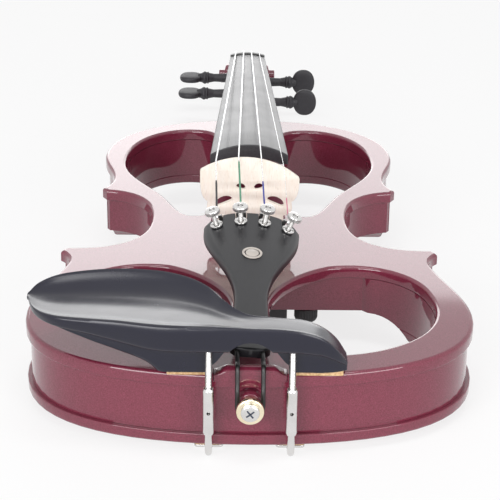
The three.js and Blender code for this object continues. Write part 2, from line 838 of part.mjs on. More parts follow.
// Side view of the pegbox: front edge dips behind the nut, back edge swells into the chin.
function pegboxProfile() {
  const side = new THREE.Shape();
  const throat = scrollEyeZ + scrollRadius * pegboxThroatShare;
  const backOfNeck = boardBottom(nutY) - neckThickNut;
  side.moveTo(pegboxStart - pegboxSetBack, pegboxFront);
  side.lineTo(pegboxStart, pegboxFront);
  side.bezierCurveTo(
    pegboxStart + pegboxLength * pegboxBrowShare, mix(pegboxFront, throat, pegboxBrowDropShare),
    pegboxStart + pegboxLength * pegboxDipShare, throat + nutThick * pegboxDipRiseShare,
    pegboxEnd, throat);
  side.lineTo(scrollEyeY, throat - scrollRadius * pegboxEyeDropShare);
  side.lineTo(scrollEyeY, scrollLow + clearance);
  side.bezierCurveTo(
    pegboxEnd, mix(scrollLow, backOfNeck, pegboxNapeShare),
    pegboxStart + pegboxLength * pegboxChinEndShare, backOfNeck - pegboxChin,
    pegboxStart + pegboxLength * pegboxChinStartShare, backOfNeck - pegboxChin);
  side.quadraticCurveTo(
    pegboxStart - pegboxSetBack * pegboxShoulderShare, backOfNeck - pegboxChin * pegboxShoulderDropShare,
    pegboxStart - pegboxSetBack * pegboxRootShare, backOfNeck + clearance);
  return side;
}

function taperPlan(start, end, startHalf, endHalf) {
  return new THREE.Shape([
    new THREE.Vector2(-startHalf, start), new THREE.Vector2(startHalf, start),
    new THREE.Vector2(endHalf, end), new THREE.Vector2(-endHalf, end),
  ]);
}

function pegbox() {
  const side = solid(alongX(pegboxProfile(), -pegboxNutHalf - overrun, pegboxNutHalf + overrun, { curveSegments: 10 }));
  const plan = solid(upZ(
    taperPlan(pegboxStart - 2 * pegboxSetBack, scrollEyeY + clearance, pegboxNutHalf, pegboxThroatHalf),
    scrollLow - overrun, fingerboardEndTop));
  const hollow = solid(upZ(
    taperPlan(pegboxStart + clearance, pegboxEnd - pegboxWall,
      pegboxNutHalf - pegboxWall, pegboxThroatHalf - pegboxWall),
    scrollLow + pegboxFloor + pegboxWall, fingerboardEndTop));
  return side.intersect(plan).subtract(hollow);
}

// Volute: a band that winds in to the eye and steps outwards as it goes.
function volute() {
  const rings = [];
  const steps = Math.round(scrollTurns * scrollStepsPerTurn);
  const radiusAt = (share) => mix(scrollRadius, scrollEyeRadius + clearance, share ** scrollCoilShare);
  const flat = [];
  for (let step = 0; step <= steps; step += 1) {
    const share = step / steps;
    const turn = -90 * deg + share * scrollTurns * 2 * Math.PI;
    const outer = radiusAt(share);
    const inner = radiusAt(Math.min(share + 1 / scrollTurns, 1)) * scrollBandShare;
    const half = mix(scrollOuterHalf, scrollEyeHalf, share ** scrollSpreadShare);
    const lip = (outer - inner) * scrollLipShare;
    const corners = [
      [inner, -half], [outer - lip, -half], [outer, -half + lip],
      [outer, half - lip], [outer - lip, half], [inner, half],
    ];
    if (!step) flat.push(...corners.map(([radius, x]) => new THREE.Vector2(radius, x)));
    rings.push(corners.map(([radius, x]) => new THREE.Vector3(
      x, scrollEyeY + radius * Math.cos(turn), scrollEyeZ + radius * Math.sin(turn))));
  }
  return solid(loft(rings, flat));
}

function neck() {
  const eye = solid(rod(scrollEyeRadius, -scrollEyeBossHalf, scrollEyeBossHalf, 16)
    .rotateY(90 * deg).translate(0, scrollEyeY, scrollEyeZ));
  const core = solid(rod(scrollRadius * scrollCoreShare, -scrollOuterHalf, scrollOuterHalf, 24)
    .rotateY(90 * deg).translate(0, scrollEyeY, scrollEyeZ));
  let wood = neckShaft().add(neckFoot()).add(pegbox()).add(volute()).add(core).add(eye);
  for (const place of Object.values(pegPlaces)) {
    const hole = rod(pegRadius + clearance, -fingerboardWideHalf, fingerboardWideHalf, 16)
      .rotateY(90 * deg).translate(0, nutY + place.along, fingerboardNutTop - place.down);
    wood = wood.subtract(solid(hole));
  }
  add('neck', wood, lacquer);
}

// Pegs: a tapered shaft, a turned collar and a flat rounded head.
function peg(name) {
  const place = pegPlaces[name];
  const shaft = turned([
    [0, -pegboxNutHalf - pegTipOut], [pegTipRadius, -pegboxNutHalf - pegTipOut],
    [pegRadius, pegboxNutHalf], [pegRadius, pegCollarReach - pegCollarRadius],
    [pegCollarRadius, pegCollarReach - pegCollarRadius / 2],
    [pegCollarRadius, pegCollarReach], [pegRadius, pegCollarReach + pegCollarRadius / 2],
    [0, pegCollarReach + pegCollarRadius],
  ], 12).rotateY(90 * deg);
  const face = new THREE.Shape();
  const start = pegCollarReach + pegHeadRound;
  face.moveTo(start, -pegRadius);
  face.bezierCurveTo(start, -pegHeadHalf, start + pegHeadHalf * pegHeadCurveShare, -pegHeadHalf,
    (start + pegHeadReach) / 2, -pegHeadHalf);
  face.bezierCurveTo(pegHeadReach - pegHeadRound, -pegHeadHalf, pegHeadReach, -pegHeadHalf / 2, pegHeadReach, 0);
  face.bezierCurveTo(pegHeadReach, pegHeadHalf / 2, pegHeadReach - pegHeadRound, pegHeadHalf,
    (start + pegHeadReach) / 2, pegHeadHalf);
  face.bezierCurveTo(start + pegHeadHalf * pegHeadCurveShare, pegHeadHalf, start, pegHeadHalf, start, pegRadius);
  const head = new THREE.ExtrudeGeometry(face, {
    depth: pegHeadThick - 2 * pegHeadRound, bevelEnabled: true, bevelThickness: pegHeadRound,
    bevelSize: pegHeadRound, bevelOffset: -pegHeadRound, bevelSegments: 1, curveSegments: 4,
  }).translate(0, 0, pegHeadRound - pegHeadThick / 2);
  if (place.side > 0) head.rotateX(90 * deg);
  const turnedPeg = add(`peg_${name}`, solid(shaft).add(solid(head)), ebony);
  turnedPeg.position.set(0, nutY + place.along, fingerboardNutTop - place.down);
  if (place.side < 0) turnedPeg.rotation.z = Math.PI;
}

// Bridge

const bridgeArcZ = (x) => topZ + bridgeHeight - bridgeArcRadius
  + Math.sqrt(bridgeArcRadius ** 2 - (x - bridgeArcOffset) ** 2);

function lens(x, z, halfLength, halfHeight, tilt) {
  const path = new THREE.Path();
  path.absellipse(x, z, halfLength, halfHeight, 0, 2 * Math.PI, false, tilt);
  return new THREE.Path(path.getPoints(10).slice(0, -1));
}

function bridge() {
  const shape = new THREE.Shape();
  const base = topZ + glueLine;
  const shoulder = (side) => bridgeArcZ(side * bridgeTopHalf);
  const waistZ = base + kidneyHeight * bridgeWaistShare;
  shape.moveTo(bridgeFootHalf, base);
  shape.lineTo(bridgeFootHalf, base + bridgeFootHeight * bridgeFootSideShare);
  shape.quadraticCurveTo(bridgeFootHalf - bridgeFootHeight, base + bridgeFootHeight * bridgeFootCurveShare,
    bridgeWaistHalf - bridgeFootHeight, waistZ);
  shape.quadraticCurveTo(bridgeWaistHalf + bridgeFootHeight / 2, waistZ, bridgeWaistHalf, base + kidneyHeight);
  shape.lineTo(bridgeTopHalf, shoulder(1));
  const arcSteps = 14;
  for (let i = 1; i <= arcSteps; i += 1) {
    const x = mix(bridgeTopHalf, -bridgeTopHalf, i / arcSteps);
    shape.lineTo(x, bridgeArcZ(x));
  }
  shape.lineTo(-bridgeWaistHalf, base + kidneyHeight);
  shape.quadraticCurveTo(-bridgeWaistHalf - bridgeFootHeight / 2, waistZ,
    -bridgeWaistHalf + bridgeFootHeight, waistZ);
  shape.quadraticCurveTo(-bridgeFootHalf + bridgeFootHeight, base + bridgeFootHeight * bridgeFootCurveShare,
    -bridgeFootHalf, base + bridgeFootHeight * bridgeFootSideShare);
  shape.lineTo(-bridgeFootHalf, base);
  const footInner = bridgeFootHalf - bridgeFootLength;
  shape.lineTo(-footInner, base);
  shape.lineTo(-footInner, base + bridgeFootHeight * bridgeFootSideShare);
  const archCrown = base + bridgeArchHeight * bridgeArchCrownShare;
  shape.bezierCurveTo(-footInner, archCrown, footInner, archCrown,
    footInner, base + bridgeFootHeight * bridgeFootSideShare);
  shape.lineTo(footInner, base);
  for (const side of [-1, 1]) {
    const [kidneyTurn, heartTurn] = [-side * kidneyTilt * deg, side * heartTilt * deg];
    shape.holes.push(lens(side * kidneyX, topZ + kidneyHeight, kidneyHalfLength, kidneyHalfHeight, kidneyTurn));
    shape.holes.push(lens(side * heartX, topZ + heartHeight, heartHalfLength, heartHalfHeight, heartTurn));
  }
  const blank = solid(alongY(shape, bridgeY - bridgeBaseThick / 2, bridgeY + bridgeBaseThick / 2, { curveSegments: 6 }));
  const crown = topZ + bridgeHeight;
  const taper = new THREE.Shape([
    new THREE.Vector2(bridgeY - bridgeBaseThick / 2, topZ - overrun),
    new THREE.Vector2(bridgeY + bridgeBaseThick / 2, topZ - overrun),
    new THREE.Vector2(bridgeY + bridgeBaseThick / 2, topZ + bridgeFootHeight),
    new THREE.Vector2(bridgeY + bridgeTopThick / 2, crown),
    new THREE.Vector2(bridgeY + bridgeTopThick / 2, crown + overrun),
    new THREE.Vector2(bridgeY - bridgeTopThick / 2, crown + overrun),
    new THREE.Vector2(bridgeY - bridgeTopThick / 2, crown),
    new THREE.Vector2(bridgeY - bridgeBaseThick / 2, topZ + bridgeFootHeight),
  ]);
  add('bridge', blank.intersect(solid(alongX(taper, -bridgeTopHalf - overrun, bridgeTopHalf + overrun))), mapleCream);
  add('pickup', pickupSlot(0), steel);
}

// Tailpiece with its four screw tuners

const tunerPlaces = stringNames.map((name, i) => {
  const x = mix(-tunerSpread / 2, tunerSpread / 2, i / (stringNames.length - 1));
  const outer = Math.abs(x) / (tunerSpread / 2);
  const y = tunerY - tunerSetBack * outer ** 2;
  const surface = Math.sqrt(tailpieceArc ** 2 - x ** 2) - tailpieceArc;
  return { name, x, y, surface, lean: Math.asin(x / tailpieceArc) };
});

function tailpieceEdge() {
  const plan = new THREE.Shape();
  const [wide, waist, tail, length] = [tailpieceWideHalf, tailpieceWaistHalf, tailpieceTailHalf, tailpieceLength];
  const endUp = length * tailpieceTailShare;
  const corner = length * tailpieceCornerShare;
  const wideBend = length * tailpieceWideBendShare;
  const [tailBend, waistBend] = [length * tailpieceTailBendShare, length * tailpieceWaistBendShare];
  const [waistStart, waistEnd] = [length * tailpieceWaistStartShare, length * tailpieceWaistEndShare];
  const endBend = length * tailpieceEndBendShare;
  const endHalf = wide * tailpieceEndShare;
  plan.moveTo(0, 0);
  plan.quadraticCurveTo(tail, 0, tail, endUp);
  plan.bezierCurveTo(tail, tailBend, waist, waistBend, waist, waistStart);
  plan.bezierCurveTo(waist, waistEnd, wide, wideBend, wide, corner);
  plan.bezierCurveTo(wide, endBend, endHalf, length, 0, length);
  plan.bezierCurveTo(-endHalf, length, -wide, endBend, -wide, corner);
  plan.bezierCurveTo(-wide, wideBend, -waist, waistEnd, -waist, waistStart);
  plan.bezierCurveTo(-waist, waistBend, -tail, tailBend, -tail, endUp);
  plan.quadraticCurveTo(-tail, 0, 0, 0);
  return plan;
}

function archedBand() {
  const band = new THREE.Shape();
  const half = tailpieceWideHalf + clearance;
  const steps = 8;
  const arc = (radius, x) => Math.sqrt(radius ** 2 - x ** 2) - tailpieceArc;
  for (let i = 0; i <= steps; i += 1) {
    const x = mix(half, -half, i / steps);
    if (i) band.lineTo(x, arc(tailpieceArc, x));
    else band.moveTo(x, arc(tailpieceArc, x));
  }
  for (let i = 0; i <= steps; i += 1) {
    const x = mix(-half, half, i / steps);
    band.lineTo(x, arc(tailpieceArc - tailpieceThick, x));
  }
  return solid(alongY(band, -clearance, tailpieceLength + clearance));
}

const leverPinZ = -leverDrop + leverThick / 2;

// Ear under the tailpiece that carries one end of a lever's pin.
function leverEarPiece(from, to) {
  const ear = new THREE.Shape();
  ear.moveTo(leverPinY - leverEarRadius, -tailpieceThick / 2);
  ear.lineTo(leverPinY - leverEarRadius, leverPinZ);
  ear.absarc(leverPinY, leverPinZ, leverEarRadius, Math.PI, 2 * Math.PI);
  ear.lineTo(leverPinY + leverEarRadius, -tailpieceThick / 2);
  const hole = new THREE.Path();
  hole.absarc(leverPinY, leverPinZ, leverPinRadius + clearance, 0, 2 * Math.PI);
  ear.holes.push(hole);
  return alongX(ear, from, to, { curveSegments: 4 });
}

// Turns a piece drawn on the tailpiece's crown to lean with the arch at x.
function onArch(geometry, place) {
  return geometry.translate(0, place.y, tailpieceArc).rotateY(place.lean).translate(0, 0, -tailpieceArc);
}

function tailpiece() {
  let board = solid(upZ(tailpieceEdge(), -tailpieceArc, tailpieceThick, { curveSegments: 7 })).intersect(archedBand());
  for (const place of tunerPlaces) {
    const bore = onArch(rod(collarRadius * collarSeatShare + clearance, -overrun, overrun, 12), place);
    board = board.subtract(solid(bore));
    const notch = box(-leverWidth / 2 - clearance, leverWidth / 2 + clearance, leverArm - hookSwing,
      tailpieceLength, -overrun, overrun);
    board = board.subtract(solid(onArch(notch, place)));
    for (const side of [-1, 1]) {
      const near = leverWidth / 2 + clearance;
      const [from, to] = side > 0 ? [near, near + leverEar] : [-near - leverEar, -near];
      board = board.add(solid(onArch(leverEarPiece(from, to), place)));
    }
  }
  for (const side of [-1, 1]) {
    const gutHole = rod(gutRadius + clearance, -overrun, gutSocket + clearance, 10).rotateX(-90 * deg)
      .translate(side * gutHalf, 0, -tailpieceThick / 2);
    board = board.subtract(solid(gutHole));
  }
  add('tailpiece', board, ebony, tailpieceFrame);
}

function inlays() {
  const ring = new THREE.Shape();
  ring.absarc(0, 0, inlayRingRadius, 0, 2 * Math.PI);
  const hole = new THREE.Path();
  hole.absarc(0, 0, inlayRingHole, 0, 2 * Math.PI);
  ring.holes.push(hole);
  add('tailpiece_inlay_ring', upZ(ring, 0, inlayThick, { curveSegments: 12 }).translate(0, inlayY, glueLine),
    bone, tailpieceFrame);
  add('tailpiece_inlay_dot', rod(inlayDotRadius, 0, inlayThick, 20).translate(0, inlayY, glueLine),
    bone, tailpieceFrame);
}

// Fine tuner: a knob on a screw shank, a collar in the tailpiece and a lever that hooks the string.
// Each is drawn at its own screw: y towards the bridge, z out of the tailpiece.
function tuner(place) {
  const frame = new THREE.Group();
  frame.position.set(0, place.y, -tailpieceArc);
  frame.rotation.y = place.lean;
  tailpieceFrame.add(frame);
  const onCrown = (geometry) => geometry.translate(0, 0, tailpieceArc);

  const collar = turned([
    [collarBore, -collarSeat], [collarRadius * collarSeatShare, -collarSeat],
    [collarRadius * collarSeatShare, clearance],
    [collarRadius, clearance], [collarRadius, collarThick], [collarBore, collarThick], [collarBore, -collarSeat],
  ], 12);
  add(`tuner_collar_${place.name}`, onCrown(collar), nickel, frame);

  const shank = turned([
    [0, -leverDrop + leverThick + clearance], [shankRadius * shankTipShare, -leverDrop + leverThick + clearance],
    [shankRadius, -leverDrop + leverThick + shankRadius], [shankRadius, shankTop], [0, shankTop],
  ], 10);
  add(`tuner_screw_${place.name}`, onCrown(shank), nickel, frame);

  const knob = turned([
    [knobBore, shankTop - knobThick], [knobRadius * tunerKnobHubShare, shankTop - knobThick],
    [knobRadius, shankTop - knobThick * tunerKnobUnderShare],
    [knobRadius, shankTop - knobThick * tunerKnobOverShare],
    [knobRadius * tunerKnobTopShare, shankTop + clearance], [knobBore, shankTop + clearance],
    [knobBore, shankTop - knobThick],
  ], 14);
  add(`tuner_knob_${place.name}`, onCrown(knob), nickel, frame);

  const side = new THREE.Shape();
  const arm = -leverDrop + leverThick;
  side.moveTo(-leverTail, -leverDrop);
  side.lineTo(leverArm, -leverDrop);
  side.quadraticCurveTo(leverArm + leverThick, -leverDrop, leverArm + leverThick, arm);
  side.lineTo(leverArm + leverThick, hookRise - hookLip);
  side.lineTo(leverArm + leverThick - hookLip, hookRise);
  side.lineTo(leverArm, hookRise);
  side.lineTo(leverArm, arm + leverThick / 2);
  side.lineTo(leverArm - leverThick / 2, arm);
  side.lineTo(-leverTail, arm);
  const blade = solid(alongX(side, -leverWidth / 2, leverWidth / 2, { curveSegments: 4 }));
  const fork = solid(box(-leverSlot / 2, leverSlot / 2, 0, leverArm + 2 * leverThick, -leverThick, overrun));
  const pinHalf = leverWidth / 2 + clearance + leverEar;
  const pin = solid(rod(leverPinRadius, -pinHalf, pinHalf, 10).rotateY(90 * deg).translate(0, leverPinY, leverPinZ));
  add(`tuner_lever_${place.name}`, onCrown(geometryOf(blade.subtract(fork).add(pin))), nickel, frame);
  return frame;
}

// Strings

const stringX = (i, spread) => mix(-spread / 2, spread / 2, i / (stringNames.length - 1));

// Where a string from the nut meets the top of its winding, and the angle it meets it at.
function windingTangent(from, centre, radius) {
  const toNut = new THREE.Vector2(from.y - centre.y, from.z - centre.z);
  return toNut.angle() - Math.acos(radius / toNut.length());
}

function leastWindingGap(points, radius) {
  let least = Infinity;
  for (let i = 0; i < points.length; i += 1) {
    for (let j = i + Math.floor(windingSteps / 2); j < points.length; j += 1) {
      least = Math.min(least, points[i].distanceTo(points[j]) - 2 * radius);
    }
  }
  return least;
}

function string(name, i) {
  const radius = stringRadii[name];
  const place = pegPlaces[name];
  const tunerFrame = tunerFrames[i];
  const inTuner = (y, z) => tunerFrame.localToWorld(new THREE.Vector3(0, y, tailpieceArc + z));
  const ballY = leverArm - ballRadius - clearance;
  const ball = inTuner(ballY, hookRise / 2);
  const bridgeX = stringX(i, bridgeStringSpread);
  const nutX = stringX(i, nutStringSpread);
  const nutZ = nutTop(nutX) + radius + stringRest;
  const leave = new THREE.Vector3(nutX, nutBack, nutZ);
  const centre = new THREE.Vector3(0, nutY + place.along, fingerboardNutTop - place.down);
  const wound = pegRadius + windingClearance + radius;
  const first = windingTangent(leave, centre, wound);
  const pitch = 2 * radius + windingGap;
  const winding = [];
  for (let step = 0; step <= windingTurns * windingSteps; step += 1) {
    const turn = first - (step / windingSteps) * 2 * Math.PI;
    winding.push(new THREE.Vector3(
      place.side * (windingStart + pitch * (step / windingSteps)),
      centre.y + wound * Math.cos(turn),
      centre.z + wound * Math.sin(turn)));
  }
  console.log(`string ${name} winding gap ${leastWindingGap(winding, radius).toFixed(2)} mm`);
  const route = [
    ball,
    inTuner(leverArm + leverThick, hookRise),
    new THREE.Vector3(bridgeX, bridgeY, bridgeArcZ(bridgeX) + radius + stringRest),
    new THREE.Vector3(nutX, nutFront, nutZ),
    leave,
    ...winding,
  ];
  const end = new THREE.SphereGeometry(ballRadius, 8, 6).translate(ball.x, ball.y, ball.z);
  add(`string_${name}`, solid(wire(route, radius, windingSides)).add(solid(end)), steel);
}

// Tail end

function saddle() {
  const shape = new THREE.Shape();
  const seat = topZ - saddleSeat;
  shape.moveTo(-saddleHalf, seat);
  shape.lineTo(saddleHalf, seat);
  shape.lineTo(saddleHalf, topZ);
  const [foot, flank] = [saddleHalf * saddleFootShare, saddleTopHalf * saddleFlankShare];
  shape.bezierCurveTo(foot, topZ, flank, topZ + saddleRise, saddleTopHalf, topZ + saddleRise);
  shape.lineTo(-saddleTopHalf, topZ + saddleRise);
  shape.bezierCurveTo(-flank, topZ + saddleRise, -foot, topZ, -saddleHalf, topZ);
  const block = solid(alongY(shape, 0, saddleDepth, { curveSegments: 5 }));
  const edge = new THREE.Shape();
  const round = saddleRise * saddleRoundShare;
  edge.moveTo(0, seat - overrun);
  edge.lineTo(saddleDepth, seat - overrun);
  edge.lineTo(saddleDepth, topZ);
  edge.quadraticCurveTo(saddleDepth, topZ + saddleRise, saddleDepth - saddleRise, topZ + saddleRise);
  edge.lineTo(round, topZ + saddleRise);
  edge.quadraticCurveTo(0, topZ + saddleRise, 0, topZ + saddleRise - round);
  const rounded = solid(alongX(edge, -saddleHalf - overrun, saddleHalf + overrun, { curveSegments: 4 }));
  add('saddle', block.intersect(rounded), lacquer);
}

// Loop of gut from the tailpiece, over the saddle and under the neck of the end button.
function tailgut() {
  const inTailpiece = (side, y) =>
    tailpieceFrame.localToWorld(new THREE.Vector3(side * gutHalf, y, -tailpieceThick / 2));
  const over = topZ + saddleRise + clearance + gutRadius;
  const outside = -bushingThick - clearance - gutRadius;
  const loopRadius = buttonNeckRadius + clearance + gutRadius;
  const half = (side) => [
    inTailpiece(side, gutSocket),
    inTailpiece(side, -gutRadius),
    new THREE.Vector3(side * gutHalf, saddleDepth / 2, over),
    new THREE.Vector3(side * gutHalf, gutRadius, over),
    new THREE.Vector3(side * gutHalf, -gutRadius, over - gutRadius),
    new THREE.Vector3(side * gutHalf, outside / 2 - gutRadius, topZ - saddleSeat),
    new THREE.Vector3(side * loopRadius, outside, buttonZ + loopRadius),
  ];
  const loop = [];
  const steps = 8;
  for (let i = 0; i <= steps; i += 1) {
    const turn = (i / steps) * Math.PI;
    loop.push(new THREE.Vector3(
      loopRadius * Math.cos(turn), outside, buttonZ - loopRadius * Math.sin(turn)));
  }
  add('tailgut', wire([...half(1), ...loop, ...half(-1).reverse()], gutRadius, 6), blackPlastic);
}

function endButton() {
  const face = -bushingThick;
  const neckEnd = face - buttonNeckLength;
  const flangeEnd = neckEnd - buttonFlangeThick;
  const outwards = (geometry) => geometry.rotateX(90 * deg).translate(0, 0, buttonZ);
  const bushing = turned([
    [buttonShankRadius + clearance, clearance - plateOverhang], [bushingRadius, clearance - plateOverhang],
    [bushingRadius, bushingThick * buttonBushingSideShare],
    [bushingRadius * buttonBushingEndShare, bushingThick],
    [buttonShankRadius + clearance, bushingThick], [buttonShankRadius + clearance, clearance - plateOverhang],
  ], 18);
  add('end_button_bushing', outwards(bushing), lacquer);
  const cross = solid(box(-buttonCrossLength / 2, buttonCrossLength / 2, -buttonCrossWidth / 2, buttonCrossWidth / 2,
    -flangeEnd + buttonScrewThick - buttonCrossDepth, -flangeEnd + overrun));
  const otherCross = cross.rotate([0, 0, 90]);
  const button = turned([
    [0, -buttonShankLength], [buttonShankRadius, -buttonShankLength], [buttonShankRadius, -face + clearance / 2],
    [buttonNeckRadius, -face + clearance / 2],
    [buttonNeckRadius * buttonNeckWaistShare, -neckEnd - buttonNeckLength / 2], [buttonNeckRadius, -neckEnd],
    [buttonFlangeRadius, -neckEnd + buttonFlangeThick * buttonFlangeRoundShare],
    [buttonFlangeRadius, -flangeEnd - buttonFlangeThick * buttonFlangeRoundShare],
    [buttonFlangeRadius * buttonFlangeEndShare, -flangeEnd], [0, -flangeEnd],
  ], 18);
  add('end_button', outwards(button), brass);
  const head = turned([
    [0, -flangeEnd + glueLine], [buttonScrewRadius, -flangeEnd + glueLine],
    [buttonScrewRadius, -flangeEnd + buttonScrewThick * buttonScrewSideShare],
    [buttonScrewRadius * buttonScrewTopShare, -flangeEnd + buttonScrewThick], [0, -flangeEnd + buttonScrewThick],
  ], 16);
  const crossed = solid(head).subtract(cross).subtract(otherCross);
  add('end_button_screw', outwards(geometryOf(crossed)), nickel);
}

// Chin rest

// Slices from the left tip of the cup to the right end of the bar, as shares of the reach, depth and height.
// Each row: place across, front edge, back edge, front rim, dish, back rim, underside of the front lip,
// lowest part, where the lowest part starts and ends, underside at the back.
const chinSliceShares = [
  [-1, 0.5, 0.6, 0.86, 0.85, 0.87, 0.79, 0.775, 0.53, 0.57, 0.78],
  [-0.96, 0.26, 0.73, 0.86, 0.8, 0.93, 0.75, 0.71, 0.36, 0.5, 0.74],
  [-0.87, 0.08, 0.86, 0.88, 0.72, 0.97, 0.72, 0.65, 0.2, 0.5, 0.68],
  [-0.72, 0, 0.95, 0.89, 0.68, 0.98, 0.66, 0.5, 0.1, 0.36, 0.62],
  [-0.58, -0.06, 0.98, 0.9, 0.66, 0.98, 0.58, 0.38, 0.03, 0.28, 0.6],
  [-0.46, -0.12, 0.97, 0.9, 0.66, 0.97, 0.52, 0.24, -0.01, 0.25, 0.59],
  [-0.37, -0.15, 0.93, 0.9, 0.67, 0.96, 0.5, 0, -0.02, 0.24, 0.58],
  [-0.27, -0.16, 0.82, 0.9, 0.68, 0.95, 0.5, 0, -0.02, 0.24, 0.58],
  [-0.19, -0.16, 0.66, 0.9, 0.7, 0.93, 0.5, 0, -0.02, 0.24, 0.58],
  [-0.13, -0.16, 0.46, 0.9, 0.74, 0.9, 0.5, 0, -0.02, 0.24, 0.58],
  [-0.06, -0.16, 0.28, 0.89, 0.79, 0.86, 0.5, 0, -0.02, 0.18, 0.56],
  [0, -0.16, 0.2, 0.88, 0.82, 0.84, 0.5, 0, -0.02, 0.13, 0.54],
  [0.3, -0.16, 0.19, 0.87, 0.81, 0.8, 0.5, 0, -0.02, 0.13, 0.5],
  [0.55, -0.155, 0.21, 0.82, 0.77, 0.75, 0.48, 0, -0.02, 0.15, 0.42],
  [0.75, -0.13, 0.23, 0.7, 0.67, 0.62, 0.42, 0, -0.02, 0.19, 0.34],
  [0.9, -0.09, 0.24, 0.48, 0.46, 0.44, 0.3, 0, 0, 0.19, 0.26],
  [1, -0.02, 0.21, 0.26, 0.25, 0.24, 0.18, 0.05, 0.03, 0.17, 0.16],
];

function chinSlice(row) {
  const [across, frontShare, backShare, ...rest] = row;
  const [rimFront, dish, rimBack, lip, low] = rest.slice(0, 5).map((share) => topZ + share * chinHeight);
  const [lowStart, lowEnd] = rest.slice(5, 7).map((share) => share * chinDepth);
  const underBack = topZ + rest[7] * chinHeight;
  const [front, back] = [frontShare * chinDepth, backShare * chinDepth];
  const wall = Math.min(back - front, chinUndercut);
  const lipEnd = front + wall * chinLipShare;
  const section = [
    [front, rimFront],
    [front, mix(rimFront, lip, chinRimFallShare)],
    [lipEnd, lip],
    [mix(lipEnd, lowStart, chinLipRunShare), mix(lip, low, chinLipFallShare)],
    [lowStart, low],
    [lowEnd, low],
    [mix(lowEnd, back, chinUnderRunShare), mix(low, underBack, chinUnderRiseShare)],
    [mix(lowEnd, back, chinUnderEndShare), underBack],
    [back, mix(underBack, rimBack, chinBackMiddleShare)],
    [back - wall * chinBackRoundShare, rimBack],
    [mix(front, back, chinFarDishShare), mix(dish, rimBack, chinFarDishRiseShare)],
    [mix(front, back, chinDishShare), dish],
    [mix(front, back, chinNearDishShare), mix(dish, rimFront, chinNearDishRiseShare)],
  ];
  const x = across * (across < 0 ? chinReach : chinTail);
  return section.map(([along, up]) => new THREE.Vector3(x, along, up));
}

const chinSole = topZ + chinCork + 2 * glueLine;

function chinArch() {
  const arch = new THREE.Shape();
  const crown = topZ + chinArchHeight;
  arch.moveTo(-chinArchHalf, topZ - overrun);
  arch.lineTo(chinArchHalf, topZ - overrun);
  arch.lineTo(chinArchHalf, topZ + chinArchFoot);
  const [flank, crownFlank] = [chinArchHalf * chinArchFlankShare, chinArchHalf * chinArchCrownShare];
  const rise = topZ + chinArchHeight * chinArchRiseShare;
  arch.bezierCurveTo(flank, rise, crownFlank, crown, 0, crown);
  arch.bezierCurveTo(-crownFlank, crown, -flank, rise, -chinArchHalf, topZ + chinArchFoot);
  return solid(alongY(arch, -chinDepth, chinDepth, { curveSegments: 6 }));
}

function chinRest() {
  const slices = chinSliceShares.map(chinSlice);
  const flat = slices[0].map((point) => new THREE.Vector2(point.y, point.z));
  let rest = solid(loft(slices, flat)).subtract(chinArch());
  rest = rest.subtract(solid(box(-chinReach, chinReach, -chinDepth, chinDepth, topZ - overrun, chinSole)));
  for (const side of [-1, 1]) {
    const hole = rod(rodRadius + clearance, barrelBottom, rodTop + clearance, 12).translate(side * clampX, clampY, 0);
    rest = rest.subtract(solid(hole));
  }
  add('chin_rest', rest, blackPlastic);
  const corkFrom = topZ + glueLine;
  const corks = {
    left: [chinCorkLeftShare * chinReach, -chinArchHalf],
    right: [chinArchHalf, chinCorkRightShare * chinTail],
  };
  for (const [name, [from, to]] of Object.entries(corks)) {
    const inner = name === 'left' ? [from, to - clearance] : [from + clearance, to];
    const corkBack = chinDepth * chinCorkDepthShare;
    add(`chin_rest_cork_${name}`, box(...inner, clearance, corkBack, corkFrom, corkFrom + chinCork), cork);
  }
}

